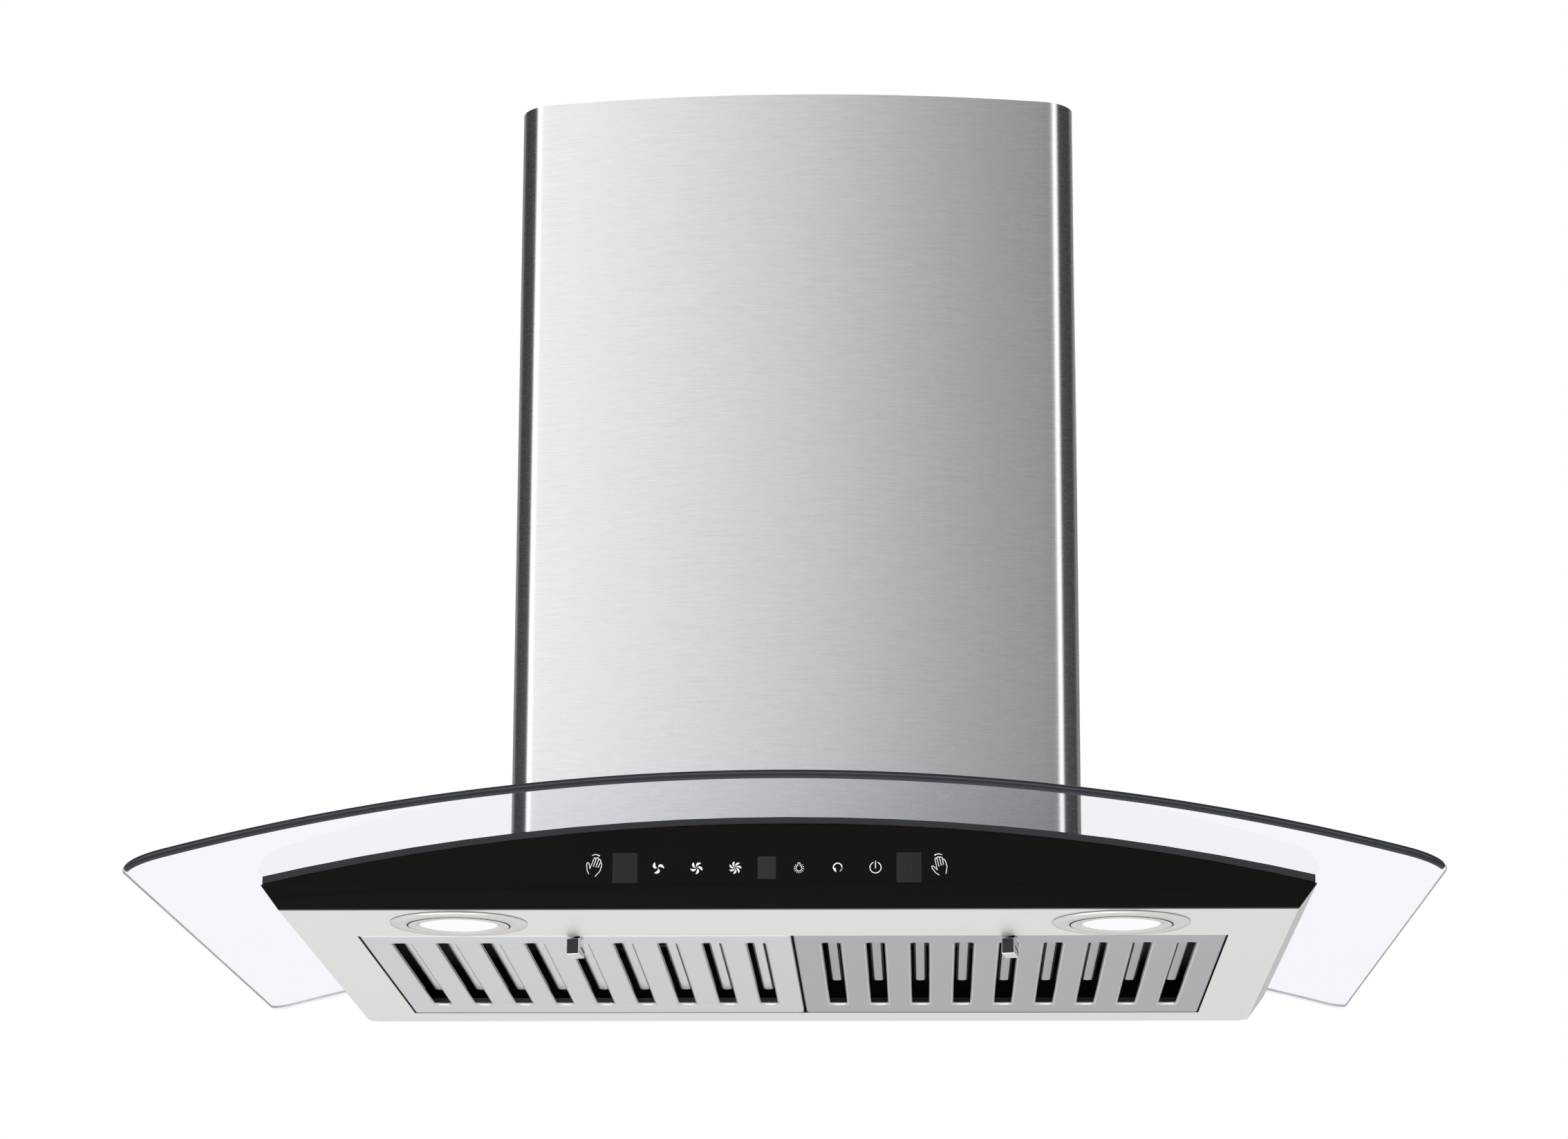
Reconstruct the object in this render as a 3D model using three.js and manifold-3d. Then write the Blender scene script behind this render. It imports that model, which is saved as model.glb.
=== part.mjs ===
// Wall-mounted chimney range hood with a bowed glass canopy.
//
// Millimetres. X runs left to right as a cook facing the hood sees it, Y runs from the room
// towards the wall, Z is up. The pieces are drawn with z = 0 at the hood's underside and y = 0 at
// the wall; the whole hood is then lowered so that the origin is in the body's rear face.

import * as THREE from 'three';
import { mergeVertices } from 'three/addons/utils/BufferGeometryUtils.js';
import Module from 'manifold-3d';

const wasm = await Module();
wasm.setup();

// ---- Driving dimensions ---------------------------------------------------------------------

const CANOPY_WIDTH = 760;         // the glass, side to side
const CANOPY_DEPTH = 580;         // the glass, wall to front edge
const CANOPY_TAPER = 10;          // each side draws in by this much towards the wall
const GLASS_THICKNESS = 5;
const GLASS_RADIUS = 1405;        // bend of the glass, at its underside
const GLASS_CROWN = 55.7;         // height of the glass's underside at its middle

const BODY_DEPTH = 462;           // wall to the front of the control fascia
const BODY_HALF_WIDTH = 303;      // at the underside
const SHOULDER_HALF_WIDTH = 314;  // where the leaning sides meet the arched top
const SHOULDER_HEIGHT = 14.8;
const BODY_CROWN = 51;            // height of the body's top at its middle
const BODY_CORNER = 9;            // rear corners, in plan
const REAR_FACE_MIDDLE = 25;      // height of the origin above the underside

const COVER_HALF_WIDTH = 181;     // chimney cover
const COVER_DEPTH = 325;          // wall to the middle of its bowed front
const COVER_BEND = 741;           // radius of the bowed front
const COVER_CORNER = 25;
const COVER_TOP = 560;

const CONTROLS_X = -12;           // middle of the touch controls
const LAMP_X = 200;
const LAMP_Y = -(BODY_DEPTH - 49);

const FILTER_WIDTH = 266;
const FILTER_DEPTH = 321;
const FILTER_HEIGHT = 10;
const FILTER_REAR = -40.5;        // rear wall of the filters
const FILTER_PITCH = 267.5;       // centre to centre
const SLOT_COUNT = 9;
const SLOT_PITCH = 27.6;
const SLOT_WIDTH = 10.5;
const SLOT_FRONT_MARGIN = 27;
const SLOT_REAR_MARGIN = 34;

const DUCT_RADIUS = 75;           // outside of the 150 mm outlet collar
const DUCT_Y = -90;
const BLOWER_Y = -170;            // impeller axis
const BLOWER_Z = 190;
const IMPELLER_RADIUS = 75;

const SHEET = 1.2;                // folded sheet steel
const GAP = 0.3;                  // left between pieces that touch

// ---- Finishes -------------------------------------------------------------------------------

const finish = (color, roughness, metalness) =>
  new THREE.MeshStandardMaterial({ color, roughness, metalness });

const brushedSteel = finish(0xc4c5c6, 0.35, 1);
const satinSteel = finish(0xdedfdd, 0.45, 1);
const galvanised = finish(0xb3b7b9, 0.5, 1);
const polishedMetal = finish(0xd8d8da, 0.15, 1);
const aluminium = finish(0xaeb2b6, 0.45, 1);
const blackGlass = finish(0x1c1814, 0.06, 0);
const clearGlass = new THREE.MeshStandardMaterial({
  color: 0xf2f6f6, roughness: 0.03, metalness: 0, transparent: true, opacity: 0.3,
});
const darkRubber = finish(0x38383e, 0.7, 0);
const blackPlastic = finish(0x202124, 0.5, 0);
const greyPlastic = finish(0x8d9094, 0.55, 0);
const whitePlastic = finish(0xe9e9e6, 0.5, 0);
const frostedLens = finish(0xfbfaff, 0.3, 0);
const circuitBoard = finish(0x1f5a38, 0.6, 0);

// ---- Solids: three.js geometry in, closed solids out ------------------------------------------

const WELD = 1e-4;

/** The closed solid of a three.js geometry, with its faces pointing out. */
function solid(form) {
  if (!(form instanceof THREE.BufferGeometry)) return form;
  const bare = form.clone();
  bare.deleteAttribute('normal');
  bare.deleteAttribute('uv');
  const welded = mergeVertices(bare, WELD);
  const points = welded.attributes.position;
  const index = welded.index.array;
  const triangles = [];
  const [a, b, c] = [new THREE.Vector3(), new THREE.Vector3(), new THREE.Vector3()];
  let volume = 0;
  for (let i = 0; i < index.length; i += 3) {
    const corner = [index[i], index[i + 1], index[i + 2]];
    if (new Set(corner).size < 3) continue;
    triangles.push(corner);
    a.fromBufferAttribute(points, corner[0]);
    b.fromBufferAttribute(points, corner[1]);
    c.fromBufferAttribute(points, corner[2]);
    volume += a.dot(b.cross(c));
  }
  if (volume < 0) triangles.forEach((corner) => corner.reverse());
  return new wasm.Manifold(new wasm.Mesh({
    numProp: 3,
    vertProperties: new Float32Array(points.array),
    triVerts: new Uint32Array(triangles.flat()),
  }));
}

const join = (...forms) => forms.map(solid).reduce((whole, form) => whole.add(form));
const cut = (form, ...tools) => solid(form).subtract(join(...tools));
const common = (first, second) => solid(first).intersect(solid(second));

function geometryOf(form) {
  const { vertProperties, triVerts } = solid(form).getMesh();
  const geometry = new THREE.BufferGeometry();
  geometry.setAttribute('position', new THREE.BufferAttribute(vertProperties, 3));
  geometry.setIndex(new THREE.BufferAttribute(triVerts, 1));
  geometry.computeVertexNormals();
  return geometry;
}

/** Makes one named piece and places it in its group. */
function piece(parent, name, form, material, position = [0, 0, 0], rotation = [0, 0, 0]) {
  const mesh = new THREE.Mesh(geometryOf(form), material);
  mesh.name = name;
  mesh.position.set(...position);
  mesh.rotation.set(...rotation);
  parent.add(mesh);
}

// ---- Basic forms ------------------------------------------------------------------------------

function block(x0, x1, y0, y1, z0, z1) {
  const geometry = new THREE.BoxGeometry(x1 - x0, y1 - y0, z1 - z0);
  return geometry.translate((x0 + x1) / 2, (y0 + y1) / 2, (z0 + z1) / 2);
}

const extrude = (shape, depth, curveSegments) =>
  new THREE.ExtrudeGeometry(shape, { depth, curveSegments, bevelEnabled: false });

/** A shape drawn in X and Y, standing from z0 to z1. */
const alongZ = (shape, z0, z1, curveSegments = 6) =>
  extrude(shape, z1 - z0, curveSegments).translate(0, 0, z0);

/** A shape drawn in X and Z, running from y0 to y1. */
const alongY = (shape, y0, y1) =>
  extrude(shape, y1 - y0, 6).rotateX(Math.PI / 2).translate(0, y1, 0);

/** A shape drawn in Y and Z, running from x0 to x1. */
function alongX(shape, x0, x1) {
  const turn = new THREE.Matrix4().makeBasis(
    new THREE.Vector3(0, 1, 0), new THREE.Vector3(0, 0, 1), new THREE.Vector3(1, 0, 0));
  return extrude(shape, x1 - x0, 6).applyMatrix4(turn).translate(x0, 0, 0);
}

function polygon(points) {
  return new THREE.Shape(points.map(([x, y]) => new THREE.Vector2(x, y)));
}

/** A closed profile of [radius, height] points turned round the Z axis. */
function turned(profile, segments = 24) {
  const points = [...profile, profile[0]].map(([r, z]) => new THREE.Vector2(r, z));
  return new THREE.LatheGeometry(points, segments).rotateX(Math.PI / 2);
}

const disc = (radius, z0, z1, segments) =>
  turned([[0, z0], [radius, z0], [radius, z1], [0, z1]], segments);

const ring = (inner, outer, z0, z1, segments) =>
  turned([[inner, z0], [outer, z0], [outer, z1], [inner, z1]], segments);

/** Turns a form's Z axis to X. */
const lieAlongX = (geometry) => geometry.rotateY(Math.PI / 2);

/** A plan outline with its own corner radius at the front and at the back. */
function roundedPlan(halfWidth, front, back, frontRadius, backRadius, backHalfWidth = halfWidth) {
  const shape = new THREE.Shape();
  const [frontX, backX] = [halfWidth - frontRadius, backHalfWidth - backRadius];
  const quarter = Math.PI / 2;
  shape.absarc(backX, back - backRadius, backRadius, 0, quarter);
  shape.absarc(-backX, back - backRadius, backRadius, quarter, 2 * quarter);
  shape.absarc(-frontX, front + frontRadius, frontRadius, 2 * quarter, 3 * quarter);
  shape.absarc(frontX, front + frontRadius, frontRadius, 3 * quarter, 4 * quarter);
  shape.closePath();
  return shape;
}

/** The domed head and plain shank of a screw; its head faces +Z and its seat is at z = 0. */
function screw(headRadius, headHeight, shankRadius, length) {
  return turned([
    [0, -length], [shankRadius, -length], [shankRadius, 0], [headRadius, 0],
    [headRadius, 0.4 * headHeight], [0.7 * headRadius, 0.9 * headHeight], [0, headHeight],
  ], 12);
}

// ---- The arches that the body, seal and glass follow --------------------------------------------

const ARCH_STEPS = 20;
const arch = (crown, radius) => (x) => crown - radius + Math.sqrt(radius * radius - x * x);
const raised = (curve, by) => (x) => curve(x) + by;

const shoulderDrop = BODY_CROWN - SHOULDER_HEIGHT;
const bodyRadius = (SHOULDER_HALF_WIDTH ** 2 + shoulderDrop ** 2) / (2 * shoulderDrop);
const bodyTop = arch(BODY_CROWN, bodyRadius);
const glassUnder = arch(GLASS_CROWN, GLASS_RADIUS);
const glassTop = arch(GLASS_CROWN + GLASS_THICKNESS, GLASS_RADIUS + GLASS_THICKNESS);
const flat = (height) => () => height;

/** The space between two curves of x, from y0 to y1. */
function archBand(lower, upper, halfWidth, y0, y1) {
  const steps = Array.from({ length: ARCH_STEPS + 1 }, (_, i) => (2 * i / ARCH_STEPS - 1) * halfWidth);
  const below = steps.map((x) => [x, lower(x)]);
  const above = steps.map((x) => [x, upper(x)]).reverse();
  return alongY(polygon([...below, ...above]), y0, y1);
}

// ---- Body, seal and glass -----------------------------------------------------------------------

const FASCIA_THICKNESS = 4;
const bodyFront = -BODY_DEPTH + FASCIA_THICKNESS + GAP;
const sideSlope = (SHOULDER_HALF_WIDTH - BODY_HALF_WIDTH) / SHOULDER_HEIGHT;

/** Leans the sides of an upright form outwards, as the body's sides lean. */
function leanSides(geometry, halfWidth) {
  const points = geometry.attributes.position;
  for (let i = 0; i < points.count; i++) {
    points.setX(i, points.getX(i) * (1 + sideSlope * points.getZ(i) / halfWidth));
  }
  return geometry;
}

/** The body's outer form, or with an inset the space inside its sheet. */
function bodyForm(inset) {
  const halfWidth = BODY_HALF_WIDTH - inset;
  const plan = roundedPlan(halfWidth, bodyFront + inset, -inset, 1, BODY_CORNER - inset);
  const upright = alongZ(plan, inset, BODY_CROWN + 1);
  const belowTop = archBand(flat(-1), raised(bodyTop, -inset), 345, -BODY_DEPTH, 1);
  return common(leanSides(upright, halfWidth), belowTop);
}

const filterField = {
  halfWidth: (FILTER_PITCH + FILTER_WIDTH) / 2 + 0.75,
  front: FILTER_REAR - FILTER_DEPTH - 1.5,
  back: FILTER_REAR + 1.5,
};
const blowerOpening = { halfWidth: 130, front: -261, back: -26 };
const touchWindow = {
  left: CONTROLS_X - 132, right: CONTROLS_X + 132, bottom: 12, top: 40,
};
const flangeScrews = [[-137, -268], [137, -268], [-137, -19], [137, -19]];
const SCREW_HOLE = 2.3;
const LAMP_HOLE = 32;

function bodyShell() {
  const holes = [
    block(-filterField.halfWidth, filterField.halfWidth, filterField.front, filterField.back, -1, 2),
    block(-blowerOpening.halfWidth, blowerOpening.halfWidth,
      blowerOpening.front, blowerOpening.back, 30, 60),
    block(touchWindow.left, touchWindow.right, bodyFront - 1, bodyFront + 2,
      touchWindow.bottom, touchWindow.top),
  ];
  for (const side of [-1, 1]) {
    holes.push(disc(LAMP_HOLE, -1, 2).translate(side * LAMP_X, LAMP_Y, 0));
  }
  for (const [x, y] of flangeScrews) {
    holes.push(disc(SCREW_HOLE, 30, 60, 12).translate(x, y, 0));
  }
  return cut(bodyForm(0), bodyForm(SHEET), ...holes);
}

const SEAL_HALF_WIDTH = 313;
const SEAL_WIDTH = 12;            // along the front and sides
const SEAL_REAR_WIDTH = 8;
const sealFront = -BODY_DEPTH + 0.5;

function glassSeal() {
  const band = archBand(raised(bodyTop, GAP), raised(glassUnder, -GAP), 320, sealFront - 1, 1);
  const outer = roundedPlan(SEAL_HALF_WIDTH, sealFront, -1, 1, BODY_CORNER);
  const inner = roundedPlan(SEAL_HALF_WIDTH - SEAL_WIDTH, sealFront + SEAL_WIDTH,
    -1 - SEAL_REAR_WIDTH, 1, 2);
  return common(band, cut(alongZ(outer, 0, 60), alongZ(inner, -1, 61)));
}

const glassCutout = { halfWidth: 150, front: -280, back: -7, corner: 8 };

function glassCanopy() {
  const half = CANOPY_WIDTH / 2;
  const band = archBand(glassUnder, glassTop, half + 1, -CANOPY_DEPTH - 1, 1);
  const outline = alongZ(roundedPlan(half, -CANOPY_DEPTH, 0, 25, 14, half - CANOPY_TAPER), 0, 70, 8);
  const { halfWidth, front, back, corner } = glassCutout;
  const cutout = alongZ(roundedPlan(halfWidth, front, back, corner, corner), 0, 70);
  return cut(common(band, outline), cutout);
}

function addBody(hood) {
  piece(hood, 'body_shell', bodyShell(), satinSteel);
  piece(hood, 'glass_seal', glassSeal(), darkRubber);
  piece(hood, 'glass_canopy', glassCanopy(), clearGlass);
}

// ---- Control fascia and the touch electronics behind it -------------------------------------------

const DISPLAY = { z: 24.6, halfWidth: 5.4, halfHeight: 6.8 };
const SENSOR = { z: 24.6, halfWidth: 7.4, halfHeight: 9, offset: 84.5 };
const BOARD = { thickness: 1.6, margin: 5, edge: 2 };
const MODULE_DEPTH = 8;

function controlFascia() {
  const plate = block(-BODY_HALF_WIDTH, BODY_HALF_WIDTH,
    -BODY_DEPTH, -BODY_DEPTH + FASCIA_THICKNESS, 0, BODY_CROWN + 1);
  const belowTop = archBand(flat(-1), bodyTop, 345, -BODY_DEPTH - 1, bodyFront);
  return common(leanSides(plate, BODY_HALF_WIDTH), belowTop);
}

function addControls(hood) {
  const behindFascia = -BODY_DEPTH + FASCIA_THICKNESS + 0.4;
  const boardBack = behindFascia + BOARD.thickness;
  const window = (part, x, grow, y0, y1) => block(
    x - part.halfWidth - grow, x + part.halfWidth + grow, y0, y1,
    part.z - part.halfHeight - grow, part.z + part.halfHeight + grow);
  const parts = [
    ['display_module', DISPLAY, CONTROLS_X, greyPlastic],
    ['gesture_sensor_left', SENSOR, CONTROLS_X - SENSOR.offset, blackPlastic],
    ['gesture_sensor_right', SENSOR, CONTROLS_X + SENSOR.offset, blackPlastic],
  ];
  const board = block(touchWindow.left + BOARD.margin, touchWindow.right - BOARD.margin,
    behindFascia, boardBack, touchWindow.bottom + BOARD.edge, touchWindow.top - BOARD.edge);
  const boardHoles = parts.map(([, part, x]) =>
    window(part, x, GAP, behindFascia - 1, boardBack + 1));

  piece(hood, 'control_fascia', controlFascia(), blackGlass);
  piece(hood, 'touch_board', cut(board, ...boardHoles), circuitBoard);
  for (const [name, part, x, material] of parts) {
    piece(hood, name, window(part, x, 0, behindFascia, behindFascia + MODULE_DEPTH), material);
  }
}

// ---- Lamps ------------------------------------------------------------------------------------

const LAMP_RIM = 41.5;
const LAMP_LENS = 23.5;
const LAMP_NECK = 30.5;           // the spring-clip sleeve that stands in the body's hole

function addLamp(hood, side, name) {
  const lamp = new THREE.Group();
  lamp.position.set(side * LAMP_X, LAMP_Y, 0);
  const bezel = turned([
    [LAMP_LENS + GAP, -2.2], [LAMP_NECK + 0.5, -2.4], [LAMP_RIM - 1.5, -1.8], [LAMP_RIM, -GAP],
    [LAMP_NECK, -GAP], [LAMP_NECK, 12], [LAMP_NECK - 2.5, 12], [LAMP_NECK - 2.5, 1],
    [LAMP_LENS + GAP, 1],
  ], 32);
  const lens = turned([[0, -2.6], [14, -2.4], [LAMP_LENS, -1.6], [LAMP_LENS, 1], [0, 1]]);
  const can = join(disc(LAMP_NECK - 3, 1.4, 16), disc(LAMP_NECK, 12.4, 16), disc(22, 15, 26));
  piece(lamp, `lamp_ring_${name}`, bezel, polishedMetal);
  piece(lamp, `lamp_lens_${name}`, lens, frostedLens);
  piece(lamp, `lamp_housing_${name}`, can, aluminium);
  hood.add(lamp);
}

// ---- Baffle filters, each with a sprung latch ---------------------------------------------------

const FILTER_SHEET = 1;
const BAFFLE_FLOOR = 6;           // height of the upper baffle plate
const SLOT_CORNER = 3;
const TONGUE = { x: 80, halfWidth: 10, reach: 12 };  // hooks over the lip behind the filter
const LATCH_TRAVEL = 6;
const latchBar = { halfWidth: 4, front: -321.7, back: -306, bottom: 1.3, top: 5 };
const latchBase = { halfWidth: 11, front: -317, back: -295, top: 9 };
const latchStem = { halfWidth: 2.5, front: -317, back: -314 };
const GRIP = { halfWidth: 4.1, turn: THREE.MathUtils.degToRad(-15) };

/** A row of bars that run front to back and cut the slots of a filter plate. */
function slotBars(count, front, z0, z1) {
  const bar = roundedPlan(SLOT_WIDTH / 2, front, -SLOT_REAR_MARGIN, SLOT_CORNER, SLOT_CORNER);
  return Array.from({ length: count }, (_, i) =>
    alongZ(bar, z0, z1, 1).translate((i - (count - 1) / 2) * SLOT_PITCH, 0, 0));
}

/** A filter's plan, drawn inset from its outer walls. */
const filterPlan = (inset) =>
  roundedPlan(FILTER_WIDTH / 2 - inset, -FILTER_DEPTH + inset, -inset, 2, 2);

function filterFrame() {
  const tray = cut(alongZ(filterPlan(0), 0, FILTER_HEIGHT, 2),
    alongZ(filterPlan(FILTER_SHEET), FILTER_SHEET, FILTER_HEIGHT + 1, 2));
  const tongues = [-1, 1].map((side) => {
    const x = side * TONGUE.x;
    return block(x - TONGUE.halfWidth, x + TONGUE.halfWidth, -FILTER_SHEET, TONGUE.reach,
      SHEET + GAP, SHEET + GAP + FILTER_SHEET);
  });
  const stemSlot = block(-latchStem.halfWidth - 0.4, latchStem.halfWidth + 0.4,
    latchStem.front - 0.4, latchStem.back + LATCH_TRAVEL + 0.4, -1, 2);
  const noseHole = block(-latchBar.halfWidth - GAP, latchBar.halfWidth + GAP,
    -FILTER_DEPTH - 1, -FILTER_DEPTH + 2, latchBar.bottom - GAP, latchBar.top + GAP);
  return cut(join(tray, ...tongues), stemSlot, noseHole,
    ...slotBars(SLOT_COUNT, -FILTER_DEPTH + SLOT_FRONT_MARGIN, -1, FILTER_SHEET + 1));
}

function filterBaffle() {
  const inset = FILTER_SHEET + 0.4;
  const front = latchBase.back + 3;
  const plate = alongZ(roundedPlan(FILTER_WIDTH / 2 - inset, front, -inset, 2, 2),
    BAFFLE_FLOOR, BAFFLE_FLOOR + FILTER_SHEET, 2);
  return cut(plate,
    ...slotBars(SLOT_COUNT - 1, front + 14, BAFFLE_FLOOR - 1, BAFFLE_FLOOR + FILTER_SHEET + 1));
}

function latchHousing() {
  const { halfWidth, front, back, top } = latchBase;
  const channel = block(-latchBar.halfWidth - 0.4, latchBar.halfWidth + 0.4,
    front - 1, latchBar.back + LATCH_TRAVEL + 1.5, 0, latchBar.top + 0.4);
  return cut(block(-halfWidth, halfWidth, front, back, FILTER_SHEET + GAP, top), channel);
}

function latchKnob() {
  const { halfWidth, front, back, bottom, top } = latchBar;
  const stemMiddle = (latchStem.front + latchStem.back) / 2;
  const side = polygon([
    [-4.5, -0.4], [-4.5, -10.2], [-4, -10.7], [6.5, -12], [7, -11.5], [5.5, -7], [2, -3], [1.5, -0.4],
  ]);
  const grip = alongX(side, -GRIP.halfWidth, GRIP.halfWidth)
    .rotateZ(GRIP.turn)
    .translate(0, stemMiddle, 0);
  const stem = block(-latchStem.halfWidth, latchStem.halfWidth, latchStem.front, latchStem.back,
    -1, bottom + 0.5);
  return join(block(-halfWidth, halfWidth, front, back, bottom, top), stem, grip);
}

function addFilter(hood, side, name) {
  const filter = new THREE.Group();
  filter.position.set(side * FILTER_PITCH / 2, FILTER_REAR, 0);
  piece(filter, `filter_frame_${name}`, filterFrame(), brushedSteel);
  piece(filter, `filter_baffle_${name}`, filterBaffle(), brushedSteel);
  piece(filter, `latch_housing_${name}`, latchHousing(), blackPlastic);
  piece(filter, `latch_knob_${name}`, latchKnob(), polishedMetal);
  hood.add(filter);
}

// ---- Blower: sheet-steel box, scroll, impeller and motor -------------------------------------------

const box = { halfWidth: 145, front: -275, back: -12, top: 300 };
const BOX_FLANGE = 14;
const GLAND = { x: -115, y: -235, hole: 5 };
const hook = { halfWidth: 110, bottom: 251, shelf: 263, back: -2.5, thickness: 2 };

function blowerBox() {
  const plan = (inset) => block(-box.halfWidth + inset, box.halfWidth - inset,
    box.front + inset, box.back - inset, 20, box.top - SHEET);
  const walls = cut(
    block(-box.halfWidth, box.halfWidth, box.front, box.back, 30, box.top), plan(SHEET));
  const sole = archBand(raised(bodyTop, GAP), raised(bodyTop, GAP + SHEET), 200, -290, 0);
  const flange = common(sole, cut(
    block(-box.halfWidth, box.halfWidth, box.front, box.back, 30, 60),
    block(-box.halfWidth + BOX_FLANGE, box.halfWidth - BOX_FLANGE,
      box.front + BOX_FLANGE, box.back - BOX_FLANGE, 29, 61)));
  const belowSole = archBand(flat(0), raised(bodyTop, GAP), 200, -300, 10);
  const hanger = join(
    block(-hook.halfWidth, hook.halfWidth, box.back - 0.5, hook.back,
      hook.shelf, hook.shelf + hook.thickness),
    block(-hook.halfWidth, hook.halfWidth, hook.back - hook.thickness, hook.back,
      hook.bottom, hook.shelf + 1));
  const holes = [
    disc(DUCT_RADIUS - 3, box.top - 3, box.top + 1, 32).translate(0, DUCT_Y, 0),
    disc(GLAND.hole, box.top - 3, box.top + 1, 16).translate(GLAND.x, GLAND.y, 0),
    ...flangeScrews.map(([x, y]) => disc(SCREW_HOLE, 30, 60, 12).translate(x, y, 0)),
  ];
  return join(cut(join(cut(walls, belowSole), flange), ...holes), hanger);
}

const scroll = { halfWidth: 55, wall: 1.5, start: 82, end: 118, tongue: 41, inlet: 58 };

/** The spiral round the impeller and the throat that leads up from it. */
function scrollProfile(wall, top) {
  const first = Math.acos((scroll.tongue - wall) / (scroll.start + wall));
  const spiral = Array.from({ length: 31 }, (_, i) => {
    const along = i / 30;
    const angle = first + along * (2 * Math.PI - first);
    const radius = scroll.start + along * (scroll.end - scroll.start) + wall;
    return [BLOWER_Y + radius * Math.cos(angle), BLOWER_Z + radius * Math.sin(angle)];
  });
  return polygon([
    ...spiral, [BLOWER_Y + scroll.end + wall, top], [BLOWER_Y + scroll.tongue - wall, top],
  ]);
}

function blowerScroll() {
  const { halfWidth, wall, inlet } = scroll;
  const top = box.top - SHEET - GAP;
  const inside = alongX(scrollProfile(0, top + 5), -halfWidth + wall, halfWidth - wall);
  const inlets = lieAlongX(disc(inlet, -halfWidth - 1, halfWidth + 1, 32))
    .translate(0, BLOWER_Y, BLOWER_Z);
  return cut(alongX(scrollProfile(wall, top), -halfWidth, halfWidth), inside, inlets);
}

const BLADES = 24;
const impellerHalf = 50;
const BLADE_ROOT = 62;
const SHAFT_RADIUS = 4;
const MOTOR = { radius: 42, from: 8, to: 80 };

/** The double-width wheel, drawn round the Z axis. */
function impeller() {
  const rims = [-1, 1].map((side) =>
    ring(BLADE_ROOT, IMPELLER_RADIUS, side > 0 ? impellerHalf - 2 : -impellerHalf,
      side > 0 ? impellerHalf : -impellerHalf + 2, 32));
  const web = ring(SHAFT_RADIUS + GAP, IMPELLER_RADIUS - 0.5, -1, 1, 32);
  const hub = ring(SHAFT_RADIUS + GAP, 10, -12, MOTOR.from - 1, 16);
  const blades = Array.from({ length: BLADES }, (_, i) =>
    block(-0.6, 0.6, -6.6, 6.6, -impellerHalf + 1, impellerHalf - 1)
      .rotateZ(0.55)
      .translate(0, (BLADE_ROOT + IMPELLER_RADIUS) / 2, 0)
      .rotateZ(i * 2 * Math.PI / BLADES));
  return join(...rims, web, hub, ...blades);
}

function motorBracket() {
  const clamp = ring(MOTOR.radius + GAP, MOTOR.radius + 4, 60, 68, 32);
  const arm = geometryOf(join(
    block(-6, 6, MOTOR.radius + 2, 76, 63, 66),
    block(-6, 6, 70, 76, scroll.halfWidth + GAP, 65)));
  const arms = [0, 1, 2].map((i) => arm.clone().rotateZ((i + 0.5) * 2 * Math.PI / 3));
  return join(clamp, ...arms);
}

function addBlower(hood) {
  piece(hood, 'blower_box', blowerBox(), galvanised);
  piece(hood, 'blower_scroll', blowerScroll(), greyPlastic);

  const axle = new THREE.Group();
  axle.position.set(0, BLOWER_Y, BLOWER_Z);
  axle.rotation.y = Math.PI / 2;
  const bell = turned([
    [scroll.inlet - 2, scroll.halfWidth + GAP], [scroll.inlet + 10, scroll.halfWidth + GAP],
    [scroll.inlet + 10, 57], [scroll.inlet + 5, 60], [scroll.inlet, 61.5], [scroll.inlet - 2, 59],
  ], 32);
  piece(axle, 'inlet_ring_right', bell, greyPlastic);
  piece(axle, 'inlet_ring_left', bell, greyPlastic, [0, 0, 0], [0, Math.PI, 0]);
  piece(axle, 'impeller', impeller(), galvanised);
  piece(axle, 'motor_shaft', disc(SHAFT_RADIUS, -14, 58, 16), polishedMetal);
  piece(axle, 'motor', cut(disc(MOTOR.radius, MOTOR.from, MOTOR.to, 32),
    disc(SHAFT_RADIUS + GAP, 0, 60, 16)), aluminium);
  piece(axle, 'motor_bracket', motorBracket(), galvanised);
  hood.add(axle);

  piece(hood, 'capacitor', disc(15, 190, 250, 24), whitePlastic,
    [-box.halfWidth + SHEET + 15.5, -230, 0]);
}

// ---- Electrics on the front of the blower box --------------------------------------------------------

const CONTROL_BOX = { halfWidth: 90, bottom: 140, top: 250, halfDepth: 15, wall: 2 };
const LED_DRIVER = { left: 98, right: 138, bottom: 160, top: 235, depth: 22 };

/** One half of the control box, a tray whose open side faces y = open. */
function controlBoxHalf(closed, open) {
  const { halfWidth, bottom, top, wall } = CONTROL_BOX;
  const inward = Math.sign(open - closed);
  const span = (a, b) => [Math.min(a, b), Math.max(a, b)];
  return cut(block(-halfWidth, halfWidth, ...span(closed, open), bottom, top),
    block(-halfWidth + wall, halfWidth - wall,
      ...span(closed + inward * wall, open + inward), bottom + wall, top - wall));
}

function addElectrics(hood) {
  const back = box.front - GAP;
  const middle = back - CONTROL_BOX.halfDepth;
  piece(hood, 'control_box_base', controlBoxHalf(back, middle), whitePlastic);
  piece(hood, 'control_box_lid',
    controlBoxHalf(middle - CONTROL_BOX.halfDepth, middle - GAP), whitePlastic);

  const { left, right, bottom, top, depth } = LED_DRIVER;
  piece(hood, 'led_driver', block(left, right, back - depth, back, bottom, top), whitePlastic);

  const gland = turned([[4.5, GAP], [9, GAP], [9, 6], [7, 8], [7, 16], [4.5, 18]], 24);
  piece(hood, 'cable_gland', gland, blackPlastic, [GLAND.x, GLAND.y, box.top]);
}

// ---- Outlet collar with its two damper flaps ----------------------------------------------------------

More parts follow.
